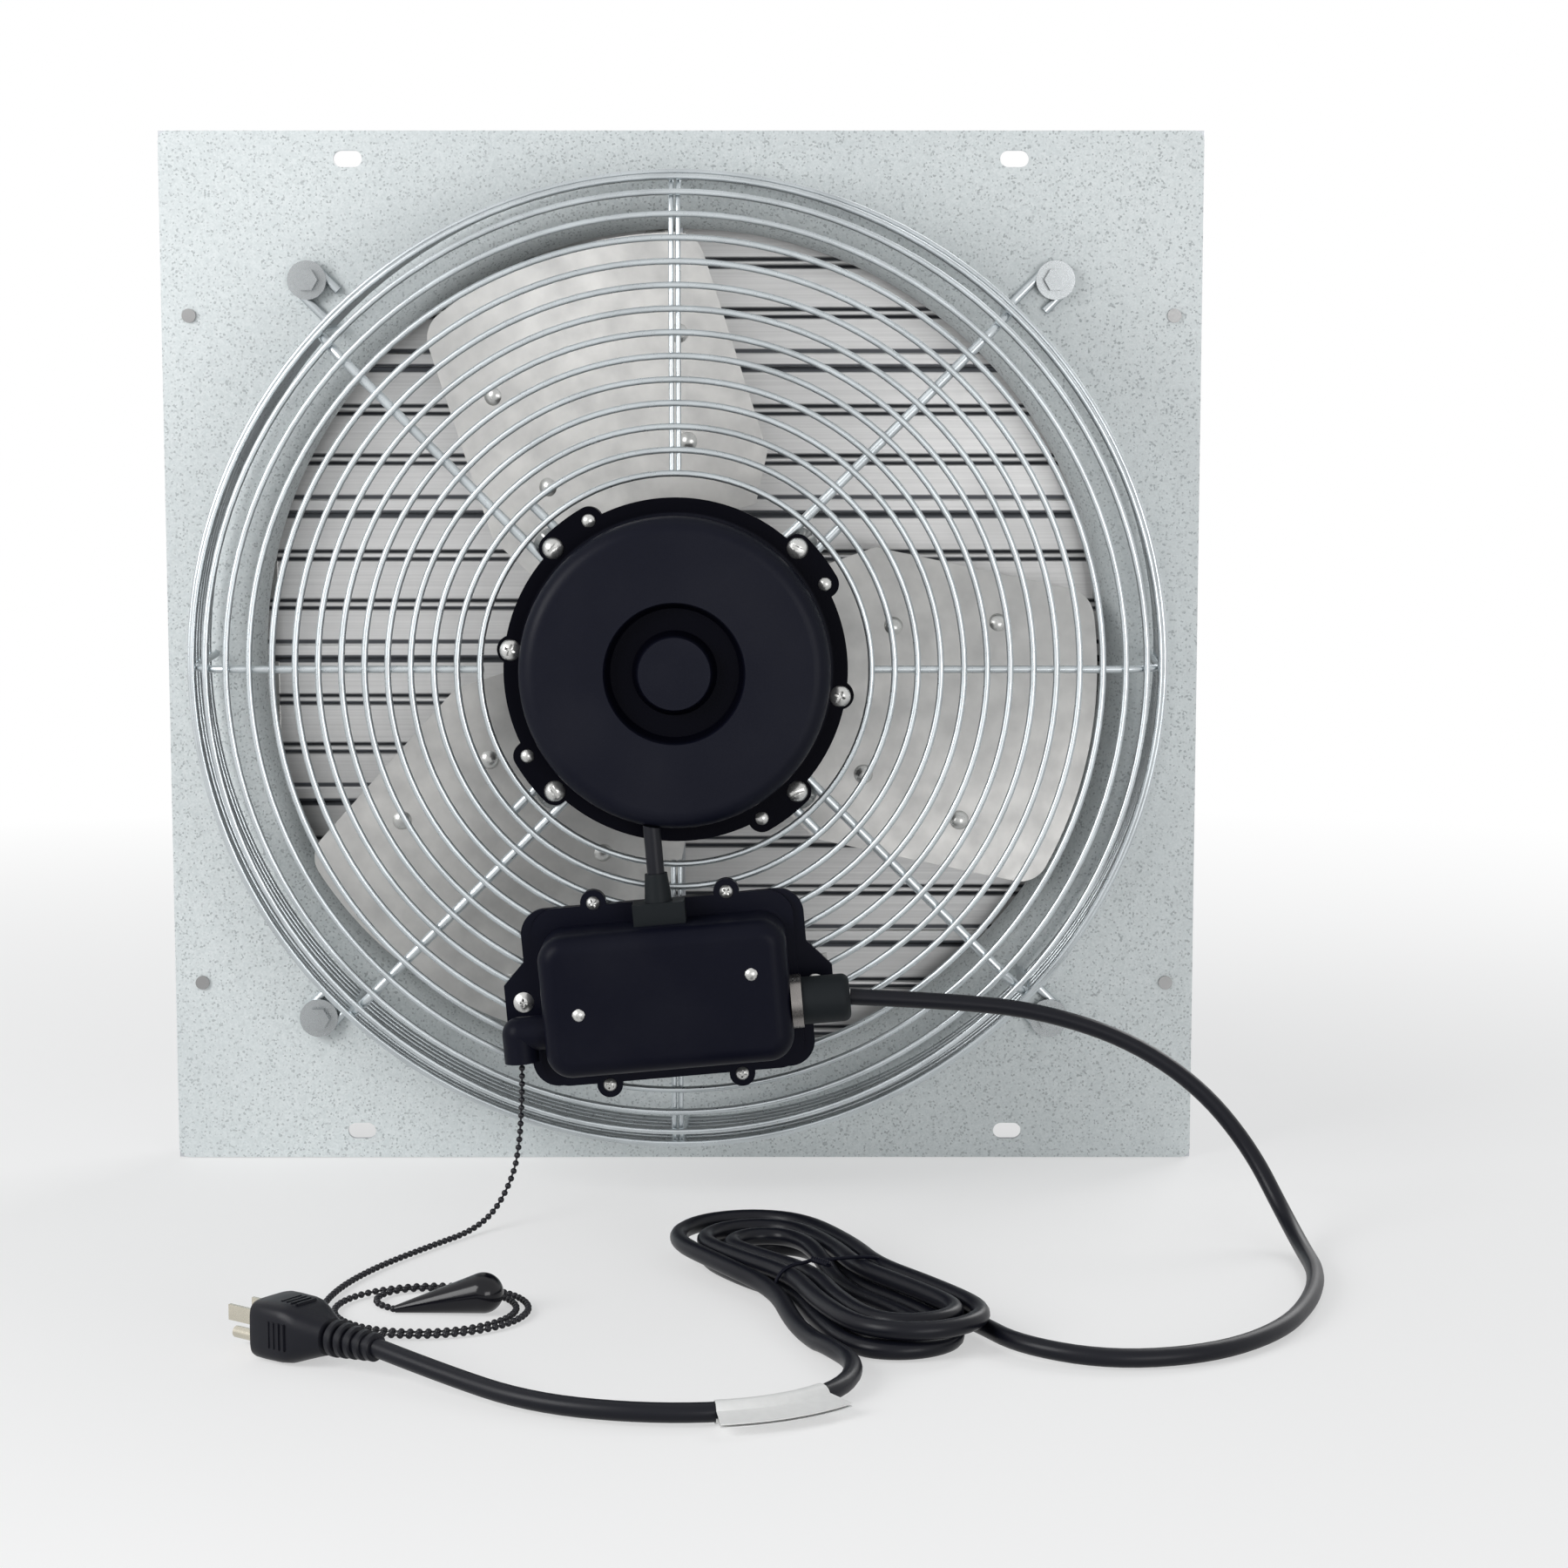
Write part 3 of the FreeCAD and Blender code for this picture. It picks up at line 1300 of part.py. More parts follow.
def make_gland_body():
    """Threaded body through the box wall and the dome nut that grips the cord."""
    y = depth(box_flange_low + gland_depth)
    start = box_body_half_x - 2 * box_wall
    end = box_body_half_x + gland_locknut_length + gland_grip
    body = rod(Vec(start, y, gland_z), Vec(end, y, gland_z), gland_thread_radius)
    body = body.cut(rod(Vec(start, y, gland_z), Vec(end, y, gland_z), cord_radius))
    face = box_body_half_x + gland_locknut_length
    top = face + gland_nut_length
    nut = rod(Vec(face, y, gland_z), Vec(top, y, gland_z), gland_nut_radius)
    rim = [edge for edge in nut.Edges if edge.BoundBox.XMin > top - 0.01]
    nut = nut.makeFillet(gland_nut_round, rim)
    nut = nut.cut(rod(Vec(face, y, gland_z), Vec(end, y, gland_z), gland_thread_radius))
    nut = nut.cut(rod(Vec(face, y, gland_z), Vec(top, y, gland_z), cord_radius))
    return [tilted(body), tilted(nut)]


def make_gland_locknut():
    y = depth(box_flange_low + gland_depth)
    wall = box_body_half_x
    face = wall + gland_locknut_length
    locknut = rod(Vec(wall, y, gland_z), Vec(face, y, gland_z), gland_locknut_radius)
    return tilted(locknut.cut(rod(Vec(wall, y, gland_z), Vec(face, y, gland_z), gland_thread_radius)))


def gland_exit():
    end = box_body_half_x + gland_locknut_length + gland_nut_length
    return tilted_point(end, depth(box_flange_low + gland_depth), gland_z)


def make_lead_relief():
    y = depth(box_flange_low + lead_depth)
    roof = box_body_half_z
    foot = block(-relief_width / 2, relief_width / 2, y - relief_deep / 2, y + relief_deep / 2,
                 roof, roof + relief_foot)
    taper = Part.makeCone(lead_radius + relief_low_wall, lead_radius + relief_high_wall, relief_taper,
                          Vec(0, y, roof + relief_foot), Vec(0, 0, 1))
    top = roof + relief_foot + relief_taper
    body = joined([foot, taper])
    return tilted(body.cut(rod(Vec(0, y, roof), Vec(0, y, top), lead_radius)))


def make_motor_lead():
    """Lead from inside the box, through its relief, to the side of the motor."""
    y = depth(box_flange_low + lead_depth)
    start = box_body_half_z - 2 * box_wall
    lead = tilted(rod(Vec(0, y, start), Vec(0, y, -switch_box_z), lead_radius))
    return lead.cut(disc(0, 0, case_radius, depth(flange_low), depth(motor_rear)))


def nose_centre():
    return Vec(-box_body_half_x - nose_reach, depth(box_flange_low + nose_depth), nose_z)


def make_switch_nose():
    """Elbow on the box's side that turns the chain downwards."""
    centre = nose_centre()
    wall = Vec(-box_body_half_x, centre.y, centre.z)
    level = rod(wall, centre, nose_radius)
    ball = Part.makeSphere(nose_radius, centre)
    mouth = centre + Vec(0, 0, -nose_drop)
    drop = rod(centre, mouth, nose_radius)
    bore = rod(centre + Vec(0, 0, nose_radius / 2), mouth, nose_bore)
    passage = rod(wall, centre, nose_bore)
    return tilted(joined([level, ball, drop]).cut(bore).cut(passage))


def actuator_top():
    """Top of the pull stem inside the nose, in the world."""
    centre = nose_centre()
    return tilted_point(centre.x, centre.y, centre.z)


def make_actuator():
    """Pull stem that slides down in the nose and carries the chain."""
    top = actuator_top()
    return rod(top, actuator_foot(), actuator_radius)


def actuator_foot():
    centre = nose_centre()
    return tilted_point(centre.x, centre.y, centre.z - actuator_length)


def chain_start():
    """Top of the chain, just clear of the stem's foot."""
    centre = nose_centre()
    return tilted_point(centre.x, centre.y, centre.z - actuator_length - side_clearance)


def make_pull_switch():
    wide, deep, high = switch_block
    left = -box_body_half_x + 2 * box_wall
    y = depth(box_flange_low)
    return tilted(block(left, left + wide, y - deep, y, nose_z - high / 2, nose_z + high / 2))


def make_capacitor():
    y = depth(box_flange_low) - capacitor_radius
    right = box_body_half_x - 4 * box_wall
    start = Vec(right - capacitor_length, y, capacitor_radius)
    return tilted(rod(start, Vec(right, y, capacitor_radius), capacitor_radius))


# Cord, hank and plug, on the floor in front of the motor side

def hank_point(along, across, layer):
    """World point of the hank: along its length, across it to the right, and up by layers."""
    angle = math.radians(hank_angle)
    x = hank_x + along * math.cos(angle) + across * math.sin(angle)
    front = hank_front + along * math.sin(angle) - across * math.cos(angle)
    z = floor_z + tie_gauge + side_clearance + cord_radius + layer * hank_layer
    return Vec(x, -front, z)


def hank_heading(along, across):
    """Unit vector in the hank's own directions."""
    return hank_point(along, across, 0) - hank_point(0, 0, 0)


def hank_nodes():
    """Points and headings of the hank: it spirals in on the floor, climbs, and spirals out on top."""
    nodes = []
    stages = 6
    inner = hank_turns * stages
    last = 2 * inner + stages - 2
    for count in range(-1, last + 1):
        inward = (inner - abs(count - inner)) / stages
        width = hank_half_width - hank_step * inward
        layer = 0 if count <= inner else 1
        if count > last - len(hank_drop):
            layer = hank_drop[count - last - 1]
        places = (
            ((0, width - hank_waist), (-1, 0)),
            ((-hank_half_length, width), (-1, 0)),
            ((-hank_half_length, -width), (1, 0)),
            ((0, -width + hank_waist), (1, 0)),
            ((hank_half_length, -width), (1, 0)),
            ((hank_half_length, width), (-1, 0)),
        )
        place, heading = places[count % stages]
        nodes.append((hank_point(place[0], place[1], layer), hank_heading(heading[0], heading[1])))
    return nodes


def hank_edges():
    nodes = hank_nodes()
    lead = 2 * cord_radius
    first, first_heading = nodes[0]
    last, last_heading = nodes[-1]
    edges = [Part.LineSegment(first - first_heading * lead, first).toShape()]
    for (start, start_heading), (end, end_heading) in zip(nodes[:-1], nodes[1:]):
        if start_heading.dot(end_heading) < -0.5:
            middle, outward = half_turn_middle(start, start_heading, end)
            edges += biarc(start, start_heading, middle, outward)
            edges += biarc(middle, outward, end, end_heading)
        else:
            edges += biarc(start, start_heading, end, end_heading)
    edges.append(Part.LineSegment(last, last + last_heading * lead).toShape())
    return edges


def half_turn_middle(start, heading, end):
    """Top of a half turn between two runs, and the heading there."""
    across = end - start
    middle = (start + end) * 0.5 + heading * (across.Length / 2)
    outward = across - heading * across.dot(heading)
    outward.normalize()
    return middle, outward


def make_hank():
    edges = hank_edges()
    self_gap("cord_hank", edges, cord_radius)
    return tube(edges, cord_radius)


def hank_start():
    first, heading = hank_nodes()[0]
    return first - heading * 2 * cord_radius


def hank_end():
    last, heading = hank_nodes()[-1]
    return last + heading * 2 * cord_radius


def make_hank_tie():
    """Flat tie round the hank's waist, which is wider on the side where the cord leaves."""
    room = cord_radius + side_clearance - hank_waist
    right = hank_half_width + room
    left = right + hank_step / 2
    high = 2 * cord_radius + hank_layer + 2 * side_clearance
    outer = block(-left - tie_gauge, right + tie_gauge, -tie_width / 2, tie_width / 2, floor_z,
                  floor_z + high + 2 * tie_gauge)
    inner = block(-left, right, -tie_width, tie_width, floor_z + tie_gauge, floor_z + tie_gauge + high)
    tie = outer.cut(inner)
    tie = tie.rotated(Vec(0, 0, 0), Vec(0, 0, 1), 90 - hank_angle)
    tie.translate(Vec(hank_x, -hank_front, 0))
    return tie


def cord_points():
    """Route of the cord from the gland to the hank: it falls in (x, distance in front, height over the
    floor) points and then lies in (x, distance in front) points."""
    falling = [(134.0, 129.0, 103.0), (172.0, 131.0, 98.0), (209.0, 135.0, 86.0), (240.0, 142.0, 66.0),
               (262.0, 152.0, 40.0), (275.0, 168.0, 14.0)]
    lying = [(280.0, 194.0), (280.0, 235.0), (270.0, 279.0), (251.0, 323.0), (219.0, 355.0), (178.0, 364.0)]
    points = [gland_exit()]
    for x, front, height in falling:
        points.append(Vec(x, panel_face - front, floor_z + height))
    for x, front in lying:
        points.append(Vec(x, panel_face - front, floor_z + cord_radius))
    end = hank_start()
    heading = hank_nodes()[0][1]
    points.append(end - heading * cord_lead_in)
    points.append(end)
    return points


def tail_points():
    """Route of the cord from the hank to the plug, which holds its end up at half the plug's height."""
    start = hank_end()
    heading = hank_nodes()[-1][1]
    lying = [(70.0, 409.0), (37.0, 432.0), (-5.0, 434.0), (-46.0, 420.0), (-80.0, 395.5)]
    points = [start, start + heading * tail_lead_out]
    for x, front in lying:
        points.append(Vec(x, panel_face - front, floor_z + cord_radius))
    points[-1].z = (points[-1].z + plug_back().z) / 2
    points.append(plug_back())
    return points


def plug_back():
    return Vec(plug_x, panel_face - plug_front, floor_z + plug_height / 2)


def plug_frame():
    """Placement that lays the plug's own +X along the way its prongs point."""
    return FreeCAD.Placement(plug_back(), FreeCAD.Rotation(Vec(0, 0, 1), plug_angle))


def placed_plug(shape):
    moved = shape.copy()
    moved.Placement = plug_frame().multiply(shape.Placement)
    return moved


def make_plug_body():
    relief = Part.makeCone(relief_end_radius, relief_body_radius, relief_length, Vec(0, 0, 0), Vec(1, 0, 0))
    body = block(relief_length, relief_length + plug_length, -plug_width / 2, plug_width / 2,
                 -plug_height / 2, plug_height / 2)
    body = body.makeFillet(plug_round, body.Edges)
    return placed_plug(joined([relief, body]))


def make_plug_prongs():
    face = relief_length + plug_length
    pieces = []
    for side in (-1, 1):
        y = side * prong_spacing / 2
        pieces.append(block(face, face + prong_length, y - prong_gauge / 2, y + prong_gauge / 2,
                            0, prong_width))
    pieces.append(rod(Vec(face, 0, -ground_pin_drop), Vec(face + ground_pin_length, 0, -ground_pin_drop),
                      ground_pin_radius))
    return [placed_plug(piece) for piece in pieces]


# Pull chain, its coil on the floor and its knob

def chain_points():
    """Route of the chain from the pull stem to the coil."""
    start = chain_start()
    falling = [(start.x, panel_face - start.y, 34.0), (-80.0, 135.0, 10.0)]
    lying = [(-91.0, 152.0), (-108.0, 180.0), (-128.0, 216.0), (-140.0, 250.0)]
    points = [start]
    for x, front, height in falling:
        points.append(Vec(x, panel_face - front, floor_z + height))
    for x, front in lying:
        points.append(Vec(x, panel_face - front, floor_z + chain_radius))
    points.append(coil_start())
    return points


def coil_nodes():
    """Quarter points of the coil, which winds inwards on the floor, with their headings."""
    nodes = []
    for count in range(coil_quarters + 1):
        shrink = coil_step * count / 4
        half_x = coil_half_x - shrink
        half_y = coil_half_y - shrink
        angle = math.radians(180 + 90 * count)
        x = coil_x + half_x * math.cos(angle)
        y = panel_face - coil_front + half_y * math.sin(angle)
        heading = Vec(-math.sin(angle), math.cos(angle), 0)
        nodes.append((Vec(x, y, floor_z + chain_radius), heading))
    return nodes


def coil_start():
    first, heading = coil_nodes()[0]
    return first - heading * 2 * chain_radius


def knob_tip():
    return Vec(coil_x - knob_inset, panel_face - coil_front, floor_z + chain_radius)


def coil_edges():
    nodes = coil_nodes()
    first, heading = nodes[0]
    edges = [Part.LineSegment(coil_start(), first).toShape()]
    for (start, start_heading), (end, end_heading) in zip(nodes[:-1], nodes[1:]):
        edges += biarc(start, start_heading, end, end_heading)
    last, last_heading = nodes[-1]
    into = Vec(1, 0, 0)
    straight = knob_tip() - into * 2 * chain_radius
    edges += biarc(last, last_heading, straight, into)
    edges.append(Part.LineSegment(straight, knob_tip()).toShape())
    return edges


def make_coil():
    edges = coil_edges()
    self_gap("chain_coil", edges, chain_radius)
    return tube(edges, chain_radius)


def make_knob():
    """Teardrop knob that lies on the floor, its tip on the chain's end."""
    tip = knob_tip()
    fat = knob_length - knob_radius
    rise = math.asin((knob_radius - chain_radius) / fat)
    cone = Part.makeCone(chain_radius, knob_radius * math.cos(rise), fat - knob_radius * math.sin(rise),
                         Vec(0, 0, 0), Vec(1, 0, 0))
    ball = Part.makeSphere(knob_radius, Vec(fat, 0, 0))
    body = joined([cone, ball])
    place = FreeCAD.Placement(tip, FreeCAD.Rotation(Vec(0, 1, 0), -math.degrees(rise)))
    body.Placement = place
    return body


# Whole fan

def placed_louver(shape, index):
    moved = shape.copy()
    moved.translate(Vec(0, pivot_y, pivot_z(index)))
    return moved


def all_nodes():
    nodes = {"fan_panel": [make_panel()]}
    for name, rail in make_frame().items():
        nodes[name] = [rail]
    nodes["corner_welds"] = make_corner_welds()
    nodes["flange_rivets"] = make_flange_rivets()
    nodes["shutter_stops"] = make_stops()
    nodes["louver_pivots"] = make_pivots()
    louver = make_louver()
    holes = [disc(x, z, louver_rivet_radius, -pivot_setback, pivot_setback + rib_height)
             for x, z in louver_rivet_places()]
    louver = cut_all(louver, holes)
    hardware = make_louver_hardware()
    for index in range(louver_count):
        name = "louver_" + str(index + 1)
        nodes[name] = [placed_louver(louver, index)]
        nodes[name + "_hardware"] = [placed_louver(piece, index) for piece in hardware]
    nodes["tie_bar"] = [make_tie_bar()]
    nodes["guard_face_rings"], nodes["guard_side_rings"] = make_guard_rings()
    nodes["guard_spokes"] = make_guard_spokes()
    nodes["guard_bolts"] = make_guard_bolts()
    nodes["motor_rear_bell"] = [make_rear_bell()]
    nodes["motor_front_bell"] = [make_front_bell()]
    nodes["motor_screws"] = make_motor_screws()
    nodes["stator_core"] = [make_stator_core()]
    nodes["stator_windings"] = make_stator_windings()
    nodes["shaft_bearings"] = make_bearings()
    nodes["motor_shaft"] = [make_shaft()]
    nodes["rotor_core"] = [make_rotor_core()]
    nodes["fan_hub"] = [make_hub()]
    nodes["hub_fasteners"] = make_hub_fasteners()
    blade = make_blade()
    for index in range(blade_count):
        nodes["fan_blade_" + str(index + 1)] = [spun(blade, blade_angle(index))]
    nodes["box_base"] = [tilted(make_box_base())]
    nodes["box_cover"] = [tilted(make_box_cover())]
    nodes["box_screws"] = make_box_screws()
    nodes["box_clamps"] = make_box_clamps()
    nodes["pull_switch"] = [make_pull_switch()]
    nodes["run_capacitor"] = [make_capacitor()]
    nodes["lead_relief"] = [make_lead_relief()]
    nodes["motor_lead"] = [make_motor_lead()]
    nodes["switch_nose"] = [make_switch_nose()]
    nodes["pull_stem"] = [make_actuator()]
    nodes["gland_body"] = make_gland_body()
    nodes["gland_locknut"] = [make_gland_locknut()]
    nodes["power_cord"] = [cord_tube("power_cord", cord_points(), cord_radius)]
    nodes["cord_hank"] = [make_hank()]
    nodes["cord_tail"] = [cord_tube("cord_tail", tail_points(), cord_radius)]
    nodes["hank_tie"] = [make_hank_tie()]
    nodes["plug_body"] = [make_plug_body()]
    nodes["plug_prongs"] = make_plug_prongs()
    nodes["pull_chain"] = [cord_tube("pull_chain", chain_points(), chain_radius)]
    nodes["chain_coil"] = [make_coil()]
    nodes["chain_knob"] = [make_knob()]
    return nodes


def write_parts():
    os.makedirs("parts", exist_ok=True)
    for name, solids in all_nodes().items():
        shape = solids[0] if len(solids) == 1 else Part.makeCompound(solids)
        count = len(shape.Solids)
        if count != len(solids) or not shape.isValid():
            print("look at", name, "solids", count, "wanted", len(solids), "valid", shape.isValid())
        shape.exportStep(os.path.join("parts", name + ".step"))


write_parts()
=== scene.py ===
import math

import bmesh
import bpy
from mathutils import Matrix, Vector


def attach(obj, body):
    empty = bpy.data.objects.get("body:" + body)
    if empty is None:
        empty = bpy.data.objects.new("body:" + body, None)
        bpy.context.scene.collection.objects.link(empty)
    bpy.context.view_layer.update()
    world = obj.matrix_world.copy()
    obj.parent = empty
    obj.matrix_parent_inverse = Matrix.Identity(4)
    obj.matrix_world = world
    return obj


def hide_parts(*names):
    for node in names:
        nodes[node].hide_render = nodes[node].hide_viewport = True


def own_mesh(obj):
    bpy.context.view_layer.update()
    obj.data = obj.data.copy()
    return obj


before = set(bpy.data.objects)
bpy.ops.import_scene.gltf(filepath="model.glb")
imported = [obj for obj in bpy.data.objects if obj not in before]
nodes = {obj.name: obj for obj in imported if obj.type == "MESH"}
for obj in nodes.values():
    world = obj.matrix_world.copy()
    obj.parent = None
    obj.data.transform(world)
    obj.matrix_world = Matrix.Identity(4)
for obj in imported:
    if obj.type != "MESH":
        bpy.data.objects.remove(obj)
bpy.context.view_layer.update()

# Sizes in metres, in the frame of the CAD model: +Z up, the motor side faces -Y
FLOOR = -0.254
PANEL_FACE = -0.0027

# Main camera: its place before the panel and over the floor, how far it looks down, and its lens
CAMERA_X = 0.050
CAMERA_DISTANCE = 1.60
CAMERA_HEIGHT = 0.374
CAMERA_TILT = math.radians(6.6)
CAMERA_LENS = 0.0745

# Louvers: where painted shade lies in the folds of their inner side, as distances below the lip's edge, and
# tones of both sides
LOUVER_NUMBERS = range(1, 7)
LIP_TOP = 0.220
LOUVER_PITCH = 0.073
LOUVER_FOLDS = ((0.0048, 0.0090), (0.0246, 0.0267), (0.0286, 0.0307), (0.0494, 0.0515), (0.0534, 0.0555),
                (0.0702, 0.0724))
FOLD_SOFT = 0.0003
# Colours: painted shade in the inner folds, a darker tone outside, painted shade under the ribs outside and
# painted highlight on their tops
FOLD_SHADE = (0.075, 0.080, 0.090)
OUTSIDE_TONES = ((0.535, 0.54, 0.55), (0.625, 0.63, 0.64))
SHADED = (0.10, 0.11, 0.13)
RIB_HIGHLIGHT = (0.95, 0.955, 0.96)

# Motor paint, and the rings in which it is darkest, as distances from the axis in shares of a unit: painted
# shade in the recess, and a darker flange
MOTOR_UNIT = 0.1
MOTOR_SOFT = 0.005
MOTOR_BLACK = (0.0045, 0.0052, 0.0115)
MOTOR_DUST = (0.0085, 0.0092, 0.0155)
MOTOR_DEEP = (0.0015, 0.0016, 0.004)
MOTOR_SHADE = ((0.170, 0.320), (0.725, 0.990))

# Edges that meet at more than this stay sharp: on the scene's own pieces, and on the slotted screws
SHARP_ANGLE = math.radians(35)
SCREW_SHARP_ANGLE = math.radians(30)

# A heading whose level part is shorter than this counts as upright, and vertices closer than this are one
NEARLY_UPRIGHT = 0.05
MERGE_DISTANCE = 1e-7

# Half turn of a spline: the angles of its control points, and the share of their radius at which it runs
HALF_TURN = (22.5, 67.5, 112.5, 157.5)
HALF_TURN_SHARE = math.cos(math.radians(22.5))

# Power cord and its hank. A turn of the hank has six stages: the middle and both ends of its two runs
CORD_RADIUS = 0.0038
GLAND_EXIT = Vector((0.0804, -0.1315, -0.14865))
HANK_CENTRE = Vector((0.070, -0.270))
HANK_ANGLE = math.radians(65)
HANK_STAGES = 6
HANK_TURNS = 2
HANK_MIDDLE = HANK_TURNS * HANK_STAGES
HANK_LAST = 2 * HANK_MIDDLE + 4
HANK_DESCENT = 2.4
HANK_HALF_LENGTH = 0.062
HANK_HALF_WIDTH = 0.031
HANK_WAIST = 0.0095
HANK_STEP = 0.0088
HANK_LAYER = 0.0082
HANK_HEIGHT = 0.0053
HANK_SAG = 0.0013
HANK_FAN = 0.0065
HANK_TWIST = 0.0040
HANK_CLOSED_SHARE = 0.3
HANK_LOWER_LEAN = -0.5
HANK_WAVE = 0.0015
HANK_WAVE_RATE = 2.3
HANK_RUN_REACH = 0.6
HANK_RUN_WAIST = 0.22

# Wire tie round the hank's waist
TIE_WIRE = 0.0008
TIE_HALF = 0.0262
TIE_TOP = 0.0181
TIE_ROOT = -0.009
TIE_TAIL = 0.017
TIE_TWIST = 0.0009
TIE_QUARTERS = 16
TIE_CORNER = 0.3 * TIE_TOP
TIE_RISE = 0.1

# Pull chain, its coil and its knob
CHAIN_RADIUS = 0.0015
BEAD_SPACING = 0.0037
CHAIN_WIRE = 0.0005
STEM_FOOT = Vector((-0.07108, -0.1275, -0.17926))
COIL_CENTRE = Vector((-0.098, -0.2857))
COIL_HALF_X = 0.044
COIL_HALF_Y = 0.040
COIL_STEP = 0.005
COIL_TURNS = 1.75
COIL_STEPS = 12
KNOB_TIP_X = -0.112

# Plug, from the cord to its face
PLUG_BACK = Vector((-0.108, -0.3772, -0.242))
PLUG_ANGLE = math.radians(143)
RELIEF_LENGTH = 0.024
RELIEF_RIBS = 5
RELIEF_ROOT = 0.0046
RELIEF_ROOT_GROWTH = 0.0011
RELIEF_CREST = 0.0056
RELIEF_CREST_GROWTH = 0.0022
RIB_BEVEL = 0.0003
PLUG_LENGTH = 0.034
PLUG_SIDES = 40

# Rings of the plug's grip: share of its length, half width, half height, squareness
GRIP_RINGS = ((0.02, 0.0074, 0.0072, 2.2), (0.14, 0.0092, 0.0084, 2.6), (0.30, 0.0116, 0.0102, 3.2),
              (0.42, 0.0127, 0.0116, 4.0), (0.55, 0.0130, 0.0120, 4.6), (0.78, 0.0130, 0.0120, 5.0),
              (0.93, 0.0129, 0.0119, 5.0), (0.98, 0.0125, 0.0115, 5.0), (1.00, 0.0117, 0.0107, 5.0))

# Ribs across the grip, on its top and sides: a seat is a turn about the plug's axis and a distance from it
GRIP_RIBS = 4
GRIP_RIB_START = 0.42
GRIP_RIB_PITCH = 0.08
GRIP_RIB_SIZE = (0.0013, 0.011, 0.0014)
GRIP_RIB_SEATS = ((0, 0.0116), (math.pi / 2, 0.0127), (-math.pi / 2, 0.0127))

# Blank tag on the cord
TAG_LENGTH = 0.046
TAG_LEAF = 0.011
TAG_GAUGE = 0.0004
TAG_LIFT = 0.0008
TAG_MIDDLE = (0.046, 0.428)
TAG_STEPS = 12
TAG_SEARCH = 14
TAG_LOOSE = 0.0003
TAG_LOWER_LEAF = -0.0012
TAG_UPPER_LEAF = -0.0004

# Screw heads that get slots: where they lie, and the sizes of the blocks that cut them
MOTOR_HEAD_PLANE = -0.1115
MOTOR_HEAD_WIDTH = 0.0095
CASE_SCREW_HEIGHT = 0.02
BOX_HEAD_PLANE = -0.1130
BOX_COVER_TOP = -0.1400
GUARD_SCREW_SLOT = (0.0120, 0.0022, 0.0014)
CASE_SCREW_SLOT = (0.0052, 0.0030, 0.0009)
BOX_SCREW_SLOT = (0.0038, 0.0022, 0.0008)

# Floor: half its side, how far it lies below the object, and its share of white by distance from the origin
FLOOR_HALF = 6.0
FLOOR_DROP = 0.0005
FADE_START = 0.45
FADE_END = 1.5
FADE_LEAST = 0.5

# Light of the world on the object
WORLD_STRENGTH = 0.3


# Camera

def add_camera():
    """The camera of the main picture, level from side to side."""
    data = bpy.data.cameras.new("main_camera")
    data.lens = CAMERA_LENS * 1000
    camera = bpy.data.objects.new("main_camera", data)
    camera.location = (CAMERA_X, PANEL_FACE - CAMERA_DISTANCE, FLOOR + CAMERA_HEIGHT)
    camera.rotation_euler = (math.pi / 2 - CAMERA_TILT, 0, 0)
    bpy.context.scene.collection.objects.link(camera)
    bpy.context.scene.camera = camera


add_camera()


# Shader helpers

